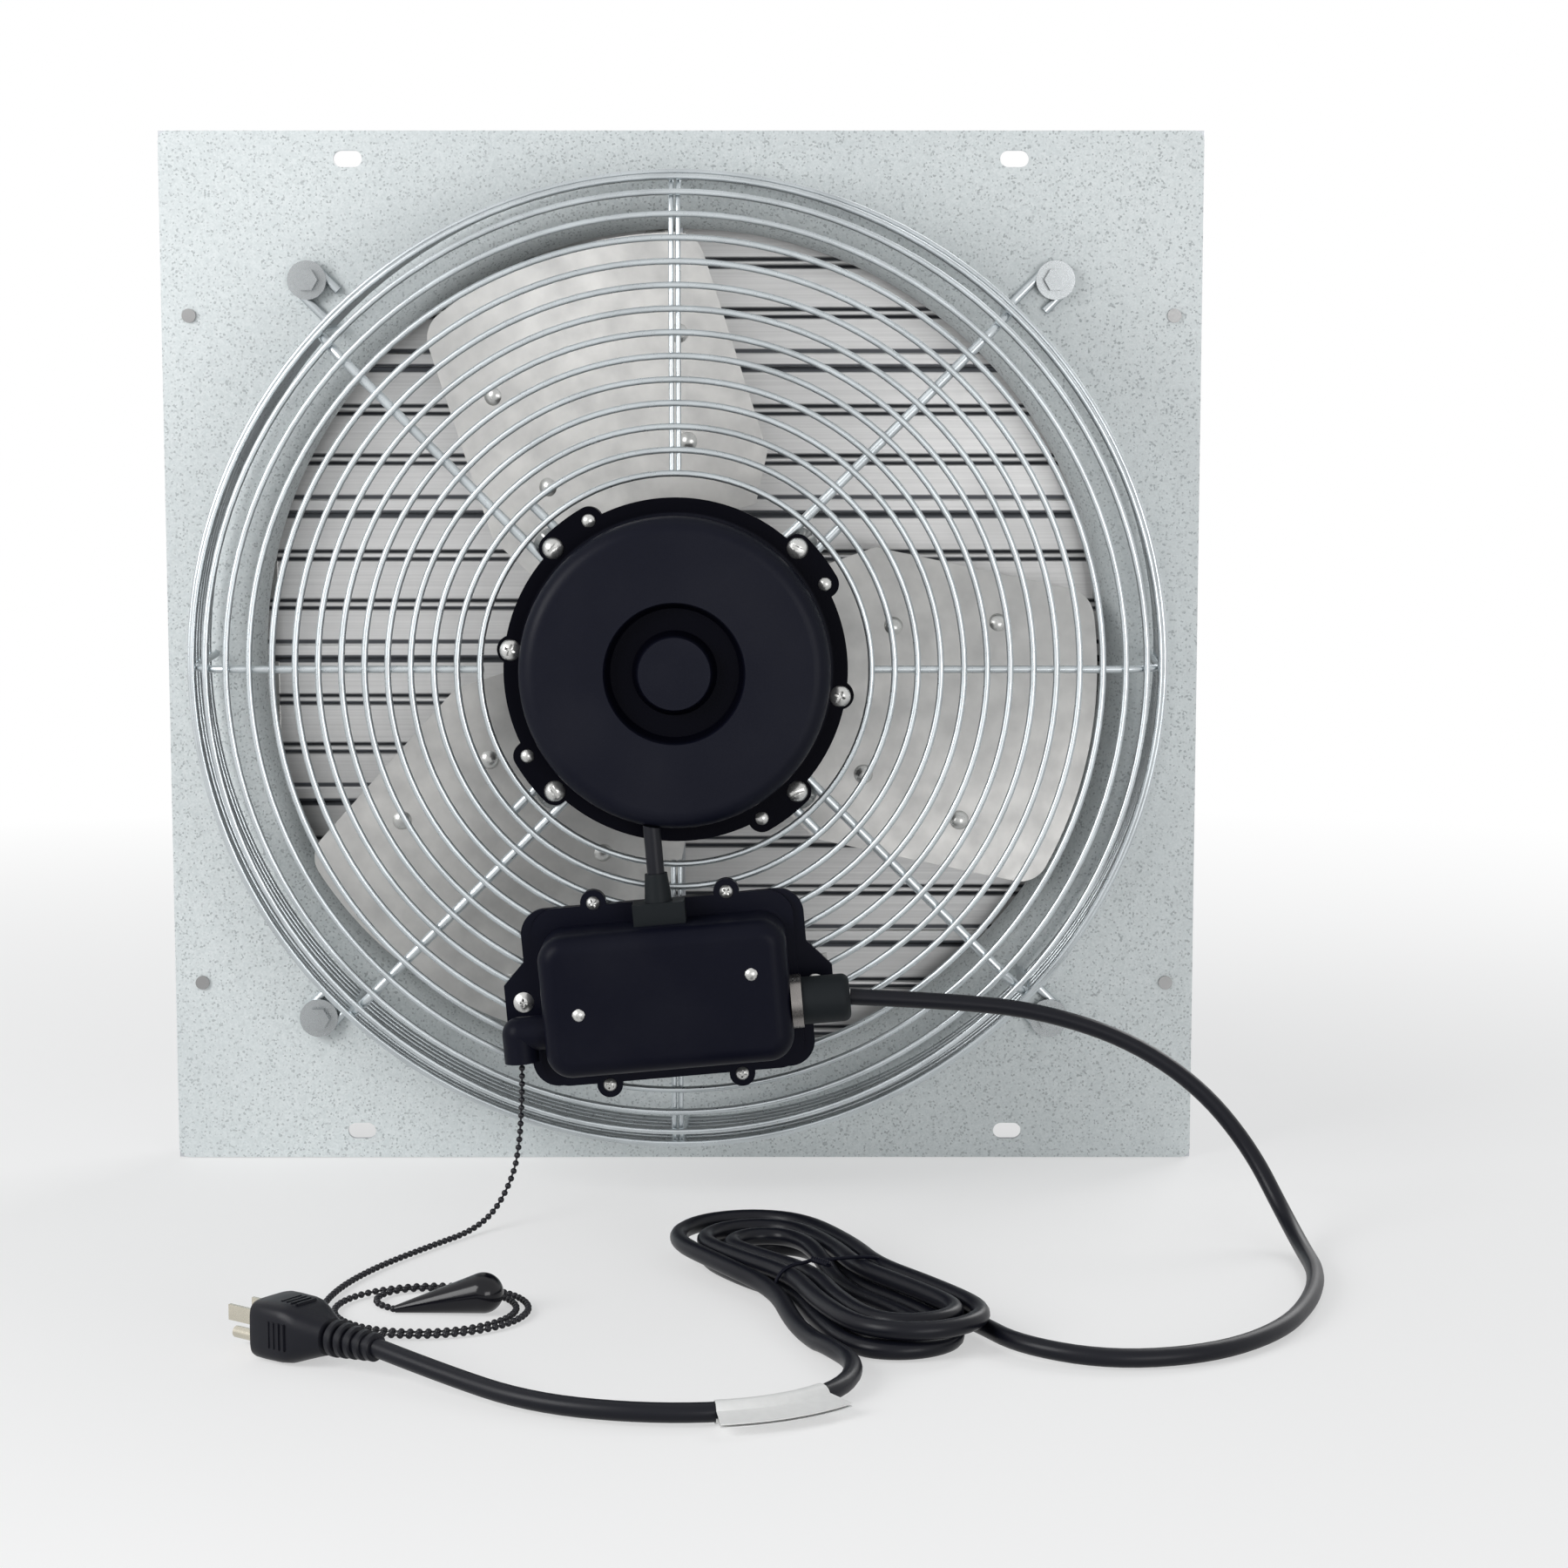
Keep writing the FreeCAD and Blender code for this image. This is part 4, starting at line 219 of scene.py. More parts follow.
class Finish:
    """A material with its shader, and short ways to add nodes to it."""

    def __init__(self, name, colour, roughness, metallic=0.0, specular=0.5):
        self.material = bpy.data.materials.new(name)
        self.material.use_nodes = True
        self.tree = self.material.node_tree
        self.shader = self.tree.nodes["Principled BSDF"]
        self.shader.inputs["Base Color"].default_value = (*colour, 1.0)
        self.shader.inputs["Roughness"].default_value = roughness
        self.shader.inputs["Metallic"].default_value = metallic
        self.shader.inputs["Specular IOR Level"].default_value = specular

    def link(self, output, target):
        self.tree.links.new(output, target)

    def coordinates(self, stretch=(1.0, 1.0, 1.0)):
        """The piece's own coordinates, in metres, stretched along its axes."""
        place = self.tree.nodes.new("ShaderNodeTexCoord")
        mapping = self.tree.nodes.new("ShaderNodeMapping")
        mapping.inputs["Scale"].default_value = stretch
        self.link(place.outputs["Object"], mapping.inputs["Vector"])
        return mapping.outputs["Vector"]

    def noise(self, scale, detail=3.0, stretch=(1.0, 1.0, 1.0)):
        made = self.tree.nodes.new("ShaderNodeTexNoise")
        made.inputs["Scale"].default_value = scale
        made.inputs["Detail"].default_value = detail
        self.link(self.coordinates(stretch), made.inputs["Vector"])
        return made.outputs["Fac"]

    def cells(self, scale):
        """A random value for each crystal of a Voronoi pattern."""
        made = self.tree.nodes.new("ShaderNodeTexVoronoi")
        made.inputs["Scale"].default_value = scale
        self.link(self.coordinates(), made.inputs["Vector"])
        split = self.tree.nodes.new("ShaderNodeSeparateColor")
        self.link(made.outputs["Color"], split.inputs["Color"])
        return split.outputs["Red"]

    def facing(self, axis):
        """How far the surface faces along one of the piece's own axes, from -1 to 1."""
        place = self.tree.nodes.new("ShaderNodeTexCoord")
        split = self.tree.nodes.new("ShaderNodeSeparateXYZ")
        self.link(place.outputs["Normal"], split.inputs["Vector"])
        return split.outputs[axis]

    def below(self, height, pitch):
        """Distance below a height, from 0 to 1, that starts again at each pitch."""
        split = self.tree.nodes.new("ShaderNodeSeparateXYZ")
        self.link(self.coordinates(), split.inputs["Vector"])
        drop = self.spread(split.outputs["Z"], height, height - pitch, 0.0, 1.0, False)
        made = self.tree.nodes.new("ShaderNodeMath")
        made.operation = "FRACT"
        self.link(drop, made.inputs[0])
        return made.outputs["Value"]

    def axis_distance(self, unit):
        """Distance from the fan's axis, as a share of a unit."""
        made = self.tree.nodes.new("ShaderNodeVectorMath")
        made.operation = "LENGTH"
        self.link(self.coordinates((1 / unit, 0.0, 1 / unit)), made.inputs[0])
        return made.outputs["Value"]

    def bands(self, value, edges, soft):
        """One inside each pair of edges, zero outside them, with soft borders."""
        made = self.tree.nodes.new("ShaderNodeValToRGB")
        stops = []
        for start, end in edges:
            stops += [(start - soft, 0.0), (start + soft, 1.0), (end - soft, 1.0), (end + soft, 0.0)]
        ramp = made.color_ramp
        while len(ramp.elements) < len(stops):
            ramp.elements.new(1.0)
        for element, (place, level) in zip(ramp.elements, stops):
            element.position = place
            element.color = (level, level, level, 1.0)
        self.link(value, made.inputs["Fac"])
        return made.outputs["Color"]

    def product(self, first, second):
        made = self.tree.nodes.new("ShaderNodeMath")
        made.operation = "MULTIPLY"
        self.link(first, made.inputs[0])
        self.link(second, made.inputs[1])
        return made.outputs["Value"]

    def spread(self, value, start, end, low, high, clamp=True):
        """Map a value between start and end onto low to high."""
        made = self.tree.nodes.new("ShaderNodeMapRange")
        made.inputs["From Min"].default_value = start
        made.inputs["From Max"].default_value = end
        made.inputs["To Min"].default_value = low
        made.inputs["To Max"].default_value = high
        made.clamp = clamp
        self.link(value, made.inputs["Value"])
        return made.outputs["Result"]

    def blend(self, share, first, second):
        """A colour between two, by share; each is a colour or a node's output."""
        made = self.tree.nodes.new("ShaderNodeMixRGB")
        self.link(share, made.inputs["Fac"])
        for name, colour in (("Color1", first), ("Color2", second)):
            if isinstance(colour, tuple):
                made.inputs[name].default_value = (*colour, 1.0)
            else:
                self.link(colour, made.inputs[name])
        return made.outputs["Color"]

    def colour(self, output):
        self.link(output, self.shader.inputs["Base Color"])

    def roughness(self, output):
        self.link(output, self.shader.inputs["Roughness"])

    def bump(self, height, distance, strength):
        made = self.tree.nodes.new("ShaderNodeBump")
        made.inputs["Strength"].default_value = strength
        made.inputs["Distance"].default_value = distance
        self.link(height, made.inputs["Height"])
        self.link(made.outputs["Normal"], self.shader.inputs["Normal"])


# Finishes

def galvanised():
    """Zinc sheet with fine dark spangle on pale grey, and faint clouding."""
    finish = Finish("galvanised_sheet", (0.66, 0.70, 0.70), 0.5, 0.12)
    fine = finish.cells(1150.0)
    coarse = finish.cells(420.0)
    cloud = finish.noise(7.0, 4.0)
    spangle = finish.blend(finish.spread(fine, 0.0, 1.0, 0.0, 1.0), (0.62, 0.665, 0.67), (0.75, 0.785, 0.79))
    flecks = finish.blend(finish.spread(fine, 0.81, 0.95, 0.0, 0.75), spangle, (0.30, 0.33, 0.34))
    patches = finish.blend(finish.spread(coarse, 0.6, 1.0, 0.0, 0.3), flecks, (0.56, 0.60, 0.605))
    finish.colour(finish.blend(finish.spread(cloud, 0.4, 0.75, 0.0, 0.35), patches, (0.55, 0.59, 0.60)))
    finish.roughness(finish.spread(fine, 0.0, 1.0, 0.38, 0.6))
    finish.bump(coarse, 0.00004, 0.3)
    return finish.material


def drawn_aluminium(name, stretch, base, painted_light=False):
    """Mill aluminium with fine lines along the way it was drawn, and a few smudges.

    With painted light the sheet has painted shade in the folds of its inner side and a darker tone outside,
    and outside its ribs have painted highlight above and painted shade below.
    """
    light = tuple(min(1.0, value * 1.06) for value in base)
    dark = tuple(value * 0.90 for value in base)
    worn = tuple(value * 0.78 for value in base)
    finish = Finish(name, base, 0.36, 0.6)
    lines = finish.noise(1.0, 4.0, stretch)
    smudge = finish.noise(14.0, 5.0)
    lined_share = finish.spread(lines, 0.3, 0.7, 0.0, 1.0)
    lined = finish.blend(lined_share, dark, light)
    smudges_and_painted_light = finish.blend(finish.spread(smudge, 0.55, 0.8, 0.0, 0.5), lined, worn)
    if painted_light:
        inside = finish.spread(finish.facing("Y"), -0.15, -0.5, 0.0, 1.0)
        outside = finish.spread(finish.facing("Y"), 0.02, 0.15, 0.0, 1.0)
        under = finish.spread(finish.facing("Z"), -0.15, -0.6, 0.0, 1.0)
        upper = finish.spread(finish.facing("Z"), 0.2, 0.6, 0.0, 1.0)
        folds = [(start / LOUVER_PITCH, end / LOUVER_PITCH) for start, end in LOUVER_FOLDS]
        fold_shade = finish.bands(finish.below(LIP_TOP, LOUVER_PITCH), folds, FOLD_SOFT / LOUVER_PITCH)
        # A darker tone on the outer side
        smudges_and_painted_light = finish.blend(outside, smudges_and_painted_light, finish.blend(lined_share, *OUTSIDE_TONES))
        # Painted shade under the ribs outside, and painted highlight on their tops
        smudges_and_painted_light = finish.blend(finish.product(outside, under), smudges_and_painted_light, SHADED)
        smudges_and_painted_light = finish.blend(finish.product(outside, upper), smudges_and_painted_light, RIB_HIGHLIGHT)
        # Painted shade in the folds of the inner side
        smudges_and_painted_light = finish.blend(finish.product(inside, fold_shade), smudges_and_painted_light, FOLD_SHADE)
    finish.colour(smudges_and_painted_light)
    finish.roughness(finish.spread(smudge, 0.3, 0.7, 0.28, 0.46))
    finish.bump(lines, 0.00002, 0.3)
    return finish.material


def blade_sheet():
    """Satin blade sheet, mottled by handling."""
    finish = Finish("blade_sheet", (0.62, 0.615, 0.60), 0.42, 0.6)
    mottle = finish.noise(60.0, 6.0)
    streak = finish.noise(9.0, 3.0)
    base = finish.blend(finish.spread(mottle, 0.35, 0.7, 0.0, 1.0), (0.66, 0.65, 0.63), (0.50, 0.495, 0.485))
    finish.colour(finish.blend(finish.spread(streak, 0.45, 0.7, 0.0, 0.4), base, (0.46, 0.46, 0.455)))
    finish.roughness(finish.spread(mottle, 0.0, 1.0, 0.32, 0.55))
    finish.bump(mottle, 0.0001, 0.15)
    return finish.material


def plated(name, colour, roughness, metallic=0.85):
    """Bright plating over wire or fasteners, with a slightly uneven sheen."""
    finish = Finish(name, colour, roughness, metallic)
    wear = finish.noise(700.0, 2.0)
    cloud = finish.noise(40.0, 3.0)
    dark = tuple(value * 0.72 for value in colour)
    finish.colour(finish.blend(finish.spread(cloud, 0.4, 0.8, 0.0, 0.8), colour, dark))
    finish.roughness(finish.spread(wear, 0.0, 1.0, roughness * 0.75, roughness * 1.4))
    return finish.material


def black_finish(name, colour, low, high, grain, depth, specular):
    """Black plastic or rubber: fine grain of some depth, and a cloudy sheen from low to high roughness."""
    finish = Finish(name, colour, (low + high) / 2, 0.0, specular)
    fine = finish.noise(grain, 2.0)
    cloud = finish.noise(22.0, 4.0)
    dust = tuple(value + 0.004 for value in colour)
    finish.colour(finish.blend(finish.spread(cloud, 0.45, 0.75, 0.0, 0.8), colour, dust))
    finish.roughness(finish.spread(cloud, 0.3, 0.7, low, high))
    finish.bump(fine, depth, 0.5)
    return finish.material


def motor_casting():
    """Black paint on the motor: a dusty face, painted shade in the recess, and deeper black on the flange.
    """
    finish = Finish("black_casting", MOTOR_BLACK, 0.4)
    fine = finish.noise(900.0, 2.0)
    cloud = finish.noise(22.0, 4.0)
    # Painted shade in the recess and darker black on the flange, both with less reflection
    deep = finish.bands(finish.axis_distance(MOTOR_UNIT), MOTOR_SHADE, MOTOR_SOFT)
    dusty = finish.blend(finish.spread(cloud, 0.45, 0.75, 0.0, 0.8), MOTOR_BLACK, MOTOR_DUST)
    finish.colour(finish.blend(deep, dusty, MOTOR_DEEP))
    finish.link(finish.spread(deep, 0.0, 1.0, 0.1, 0.035), finish.shader.inputs["Specular IOR Level"])
    finish.roughness(finish.spread(cloud, 0.3, 0.7, 0.34, 0.48))
    finish.bump(fine, 0.00012, 0.5)
    return finish.material


def laminated_steel():
    """Stacked core sheets, seen as fine lines round the core."""
    finish = Finish("laminated_steel", (0.42, 0.42, 0.43), 0.45, 0.9)
    layers = finish.noise(1.0, 1.0, (2.0, 1800.0, 2.0))
    finish.colour(finish.blend(layers, (0.48, 0.48, 0.49), (0.32, 0.32, 0.33)))
    finish.roughness(finish.spread(layers, 0.0, 1.0, 0.3, 0.6))
    finish.bump(layers, 0.00005, 0.6)
    return finish.material


def enamelled_copper():
    """Wound copper wire under clear enamel."""
    finish = Finish("enamelled_copper", (0.55, 0.24, 0.10), 0.3, 0.8)
    strands = finish.noise(1.0, 2.0, (900.0, 120.0, 900.0))
    finish.colour(finish.blend(strands, (0.60, 0.28, 0.12), (0.42, 0.17, 0.07)))
    finish.roughness(finish.spread(strands, 0.0, 1.0, 0.22, 0.4))
    finish.bump(strands, 0.0001, 0.6)
    return finish.material


def tag_film():
    """Plain white tag film, faintly creased."""
    finish = Finish("tag_film", (0.84, 0.84, 0.83), 0.5)
    fibre = finish.noise(300.0, 4.0)
    crease = finish.noise(60.0, 2.0)
    finish.colour(finish.blend(fibre, (0.88, 0.88, 0.87), (0.78, 0.78, 0.77)))
    finish.roughness(finish.spread(crease, 0.0, 1.0, 0.4, 0.6))
    finish.bump(crease, 0.0008, 0.3)
    return finish.material


galvanised_sheet = galvanised()
rail_lines_across = drawn_aluminium("rail_lines_across", (3.0, 900.0, 900.0), (0.52, 0.54, 0.565))
rail_lines_upright = drawn_aluminium("rail_lines_upright", (900.0, 900.0, 3.0), (0.52, 0.54, 0.565))
louver_sheet = drawn_aluminium("louver_sheet", (5.0, 900.0, 900.0), (0.72, 0.715, 0.71), painted_light=True)
blade_metal = blade_sheet()
zinc_wire = plated("zinc_wire", (0.54, 0.58, 0.60), 0.28)
zinc_hardware = plated("zinc_hardware", (0.60, 0.60, 0.585), 0.28)
bolt_steel = plated("bolt_steel", (0.40, 0.42, 0.43), 0.26)
rivet_steel = plated("rivet_steel", (0.30, 0.30, 0.30), 0.38)
nickel = plated("nickel", (0.25, 0.235, 0.225), 0.24)
prong_metal = plated("prong_metal", (0.66, 0.62, 0.52), 0.24)
shaft_steel = plated("shaft_steel", (0.60, 0.60, 0.61), 0.25)
brass = plated("brass", (0.78, 0.62, 0.32), 0.28)
core_steel = laminated_steel()
copper = enamelled_copper()
black_casting = motor_casting()
black_plastic = black_finish("black_plastic", (0.004, 0.0045, 0.0105), 0.34, 0.46, 1500.0, 0.00006, 0.07)
dark_rubber = black_finish("dark_rubber", (0.009, 0.0115, 0.0135), 0.44, 0.58, 1300.0, 0.00005, 0.12)
gloss_plastic = black_finish("gloss_plastic", (0.004, 0.004, 0.007), 0.10, 0.20, 300.0, 0.00001, 0.3)
cord_rubber = black_finish("cord_rubber", (0.005, 0.0055, 0.0095), 0.30, 0.42, 1200.0, 0.00004, 0.2)
chain_black = black_finish("chain_black", (0.006, 0.006, 0.010), 0.22, 0.38, 800.0, 0.00001, 0.3)
tag_white = tag_film()


def dress_nodes():
    """Give each CAD node its finish."""
    finishes = {
        galvanised_sheet: ["fan_panel"],
        rail_lines_across: ["shutter_frame_top", "shutter_frame_bottom", "shutter_stops"],
        rail_lines_upright: ["shutter_frame_left", "shutter_frame_right", "tie_bar"],
        louver_sheet: ["louver_" + str(number) for number in LOUVER_NUMBERS],
        blade_metal: ["fan_blade_1", "fan_blade_2", "fan_blade_3"],
        zinc_wire: ["guard_face_rings", "guard_side_rings", "guard_spokes"],
        zinc_hardware: ["corner_welds", "louver_pivots", "motor_screws", "box_screws",
                        "box_clamps", "pull_stem", "fan_hub", "hub_fasteners"]
        + ["louver_" + str(number) + "_hardware" for number in LOUVER_NUMBERS],
        bolt_steel: ["guard_bolts"],
        rivet_steel: ["flange_rivets"],
        nickel: ["gland_locknut"],
        prong_metal: ["plug_prongs"],
        shaft_steel: ["motor_shaft"],
        brass: ["shaft_bearings"],
        core_steel: ["stator_core", "rotor_core"],
        copper: ["stator_windings"],
        black_casting: ["motor_rear_bell", "motor_front_bell"],
        black_plastic: ["box_base", "box_cover", "pull_switch", "switch_nose", "hank_tie"],
        dark_rubber: ["lead_relief", "gland_body"],
        gloss_plastic: ["run_capacitor", "chain_knob"],
        cord_rubber: ["motor_lead", "plug_body", "power_cord", "cord_hank", "cord_tail"],
        chain_black: ["pull_chain", "chain_coil"],
    }
    for material, names in finishes.items():
        for name in names:
            slots = nodes[name].data.materials
            slots.clear()
            slots.append(material)


dress_nodes()


# Meshes and curves

def mesh_object(name, mesh, material):
    """Put a mesh into the scene."""
    made = bpy.data.objects.new(name, mesh)
    if material is not None:
        mesh.materials.append(material)
    bpy.context.scene.collection.objects.link(made)
    return made


def finished_mesh(bm, name):
    """Turn a bmesh into a mesh with smooth faces and sharp corners."""
    bmesh.ops.recalc_face_normals(bm, faces=bm.faces)
    mesh = bpy.data.meshes.new(name)
    bm.to_mesh(mesh)
    bm.free()
    mesh.shade_smooth()
    mesh.set_sharp_from_angle(angle=SHARP_ANGLE)
    return mesh


def spline_object(name, points, radius, material):
    """A round cord on one NURBS spline with these control points."""
    data = bpy.data.curves.new(name, "CURVE")
    data.dimensions = "3D"
    spline = data.splines.new("NURBS")
    spline.points.add(len(points) - 1)
    for slot, point in zip(spline.points, points):
        slot.co = (*point, 1.0)
    spline.order_u = 3
    spline.use_endpoint_u = True
    spline.resolution_u = 6
    data.bevel_depth = radius
    data.bevel_resolution = 5
    data.use_fill_caps = radius > 0
    if material is not None:
        data.materials.append(material)
    made = bpy.data.objects.new(name, data)
    bpy.context.scene.collection.objects.link(made)
    return made


def spline_points(points):
    """Points along the route's NURBS spline."""
    guide = spline_object("route_guide", points, 0.0, None)
    mesh = bpy.data.meshes.new_from_object(guide)
    found = [vertex.co.copy() for vertex in mesh.vertices]
    bpy.data.objects.remove(guide)
    bpy.data.meshes.remove(mesh)
    return found


def stations(line, spacing):
    """Points at even steps along a line, each with the line's heading there."""
    found = []
    left = 0.0
    for start, end in zip(line[:-1], line[1:]):
        run = (end - start).length
        while left <= run and run > 0:
            found.append((start.lerp(end, left / run), (end - start).normalized()))
            left += spacing
        left -= run
    return found


def cross_frame(heading):
    """Two directions square to a heading: level, and upwards."""
    level = heading.cross(Vector((0, 0, 1)))
    if level.length < NEARLY_UPRIGHT:
        level = heading.cross(Vector((0, 1, 0)))
    level.normalize()
    return level, level.cross(heading).normalized()


def add_rings(bm, rings, closed_ends=True):
    """Skin a row of rings, each a list of points, into a tube."""
    rows = [[bm.verts.new(point) for point in ring] for ring in rings]
    for first, second in zip(rows[:-1], rows[1:]):
        for index in range(len(first)):
            after = (index + 1) % len(first)
            bm.faces.new((first[index], first[after], second[after], second[index]))
    if closed_ends:
        bm.faces.new(rows[0])
        bm.faces.new(list(reversed(rows[-1])))


def on_floor(x, front, height):
    """A point given by its distance in front of the panel and its height over the floor."""
    return Vector((x, PANEL_FACE - front, FLOOR + height))


# Power cord: down from the gland, along the floor, round the hank and on to the plug

def hank_point(along, across, height):
    """A point given along and across the hank, and by its height over the floor."""
    x = HANK_CENTRE.x + along * math.cos(HANK_ANGLE) + across * math.sin(HANK_ANGLE)
    y = HANK_CENTRE.y - along * math.sin(HANK_ANGLE) + across * math.cos(HANK_ANGLE)
    return Vector((x, y, FLOOR + height))


def hank_width(count):
    """Half width of the loops at a count of stages: they spiral in, then out again."""
    return HANK_HALF_WIDTH - HANK_STEP * (HANK_MIDDLE - abs(count - HANK_MIDDLE)) / HANK_STAGES


def hank_rise(count, reach):
    """Height of the cord's middle: one layer on the floor, the next on top, sagging off the tie."""
    layer = min(1.0, max(0.0, count - HANK_MIDDLE), max(0.0, (HANK_LAST - count) / HANK_DESCENT))
    return HANK_HEIGHT + layer * HANK_LAYER - HANK_SAG * reach


def hank_spread(count, end):
    """How far a loop's end runs on, and how far it leans over: the two layers fan out differently."""
    least = hank_width(HANK_MIDDLE)
    rank = 2 * (hank_width(count) - least) / (HANK_HALF_WIDTH - least) - 1
    upper = count > HANK_MIDDLE
    opens = (end > 0) != upper
    wave = HANK_WAVE * math.sin(HANK_WAVE_RATE * count)
    reach = HANK_FAN * (rank if opens else HANK_CLOSED_SHARE * rank) + wave
    lean = HANK_TWIST * end * (1 if upper else HANK_LOWER_LEAN)
    return reach, lean


def hank_route():
    """Control points of the hank: straight runs drawn in at the waist, and half turns at both ends."""
    route = []
    for count in range(-1, HANK_LAST + 1):
        stage = count % HANK_STAGES
        side = 1 if stage in (5, 0, 1) else -1
        width = hank_width(count)
        if stage % 3 == 0:
            route.append(hank_point(0, side * (width - HANK_WAIST), hank_rise(count, 0)))
            continue
        end = -1 if stage in (1, 2) else 1
        reach, lean = hank_spread(count, end)
        run_lean = lean / 2 if count < HANK_LAST else 0.0
        run_across = side * (width - HANK_RUN_WAIST * HANK_WAIST) + run_lean
        route.append(hank_point(end * HANK_RUN_REACH * HANK_HALF_LENGTH, run_across,
                                hank_rise(count, HANK_RUN_REACH)))
        turning = stage % 3 == 1 and count < HANK_LAST
        if not turning:
            continue
        for degrees in HALF_TURN:
            there = count + degrees / 180
            corner = hank_width(there) / HALF_TURN_SHARE
            along = HANK_HALF_LENGTH + reach + corner * math.sin(math.radians(degrees))
            across = corner * math.cos(math.radians(degrees))
            route.append(hank_point(end * along, side * across + lean, hank_rise(there, 1)))
    route.append(hank_point(HANK_HALF_LENGTH, -hank_width(HANK_LAST), hank_rise(HANK_LAST, 1)))
    return route


def cord_route():
    """Control points of the whole cord, from the gland to the plug."""
    falling = [GLAND_EXIT, on_floor(0.134, 0.129, 0.103), on_floor(0.172, 0.131, 0.098),
               on_floor(0.209, 0.135, 0.086), on_floor(0.240, 0.142, 0.066), on_floor(0.262, 0.152, 0.040),
               on_floor(0.275, 0.168, 0.014)]
    lying = [(0.280, 0.194), (0.280, 0.235), (0.270, 0.279), (0.251, 0.323), (0.219, 0.355), (0.178, 0.364)]
    route = falling + [on_floor(x, front, CORD_RADIUS) for x, front in lying]
    route += [on_floor(0.1432, 0.3475, HANK_HEIGHT), on_floor(0.1288, 0.3167, HANK_HEIGHT)]
    route += hank_route()
    route += [on_floor(0.0660, 0.346, HANK_HEIGHT), on_floor(0.0795, 0.375, HANK_HEIGHT)]
    tail = [(0.070, 0.409), (0.037, 0.432), (-0.005, 0.434), (-0.046, 0.420)]
    route += [on_floor(x, front, CORD_RADIUS + TAG_LIFT) for x, front in tail]
    route += [on_floor(-0.080, 0.3955, 0.0079), PLUG_BACK]
    return route


power_cord = spline_object("power_lead", cord_route(), CORD_RADIUS, cord_rubber)
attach(power_cord, "fan_frame")
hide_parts("power_cord", "cord_hank", "cord_tail")


# Pull chain: beads on a wire, from the stem down to the coil and the knob

def chain_route():
    """Control points of the chain: down from the stem, round the coil and in to the knob."""
    hanging = [STEM_FOOT, on_floor(STEM_FOOT.x, 0.1248, 0.034), on_floor(-0.080, 0.135, 0.010)]
    lying = [(-0.091, 0.152), (-0.108, 0.180), (-0.128, 0.216), (-0.140, 0.250)]
    route = hanging + [on_floor(x, front, CHAIN_RADIUS) for x, front in lying]
    outside = 1 / math.cos(math.pi / COIL_STEPS)
    for step in range(int(COIL_TURNS * COIL_STEPS) + 1):
        turn = step / COIL_STEPS
        angle = math.pi + 2 * math.pi * turn
        x = COIL_CENTRE.x + (COIL_HALF_X - COIL_STEP * turn) * outside * math.cos(angle)
        y = COIL_CENTRE.y + (COIL_HALF_Y - COIL_STEP * turn) * outside * math.sin(angle)
        route.append(Vector((x, y, FLOOR + CHAIN_RADIUS)))
    top = COIL_CENTRE.y + COIL_HALF_Y - COIL_STEP * COIL_TURNS
    radius = (top - COIL_CENTRE.y) / 2
    corner = radius / HALF_TURN_SHARE
    middle = Vector((COIL_CENTRE.x - radius / 2, COIL_CENTRE.y + radius))
    for degrees in HALF_TURN:
        x = middle.x + corner * math.cos(math.radians(90 + degrees))
        y = middle.y + corner * math.sin(math.radians(90 + degrees))
        route.append(Vector((x, y, FLOOR + CHAIN_RADIUS)))
    route.append(Vector((KNOB_TIP_X, COIL_CENTRE.y, FLOOR + CHAIN_RADIUS)))
    return route


def bead_chain(line):
    """Beads at even steps along a line, with a thin wire from each to the next."""
    bm = bmesh.new()
    beads = [point for point, heading in stations(line, BEAD_SPACING)]
    for bead in beads:
        bmesh.ops.create_icosphere(bm, subdivisions=2, radius=CHAIN_RADIUS, matrix=Matrix.Translation(bead))
    sides = 6
    for start, end in zip(beads[:-1], beads[1:]):
        level, up = cross_frame((end - start).normalized())
        rings = []
        for point in (start, end):
            ring = []
            for side in range(sides):
                angle = 2 * math.pi * side / sides
                ring.append(point + CHAIN_WIRE * (math.cos(angle) * level + math.sin(angle) * up))
            rings.append(ring)
        add_rings(bm, rings)
    return finished_mesh(bm, "bead_chain")


chain_line = spline_points(chain_route())
chain = mesh_object("bead_chain", bead_chain(chain_line), chain_black)
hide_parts("pull_chain", "chain_coil")
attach(chain, "fan_frame")
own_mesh(chain)


# Plug

def plug_matrix():
    """Places a piece made along +X, from the cord to the prongs."""
    return Matrix.Translation(PLUG_BACK) @ Matrix.Rotation(PLUG_ANGLE, 4, "Z")


def rounded_ring(x, half_width, half_height, squareness):
    """A ring across the plug's axis, from round (2) to square (higher)."""
    ring = []
    for side in range(PLUG_SIDES):
        angle = 2 * math.pi * side / PLUG_SIDES
        across = math.copysign(abs(math.cos(angle)) ** (2 / squareness), math.cos(angle))
        upward = math.copysign(abs(math.sin(angle)) ** (2 / squareness), math.sin(angle))
        ring.append(Vector((x, half_width * across, half_height * upward)))
    return ring


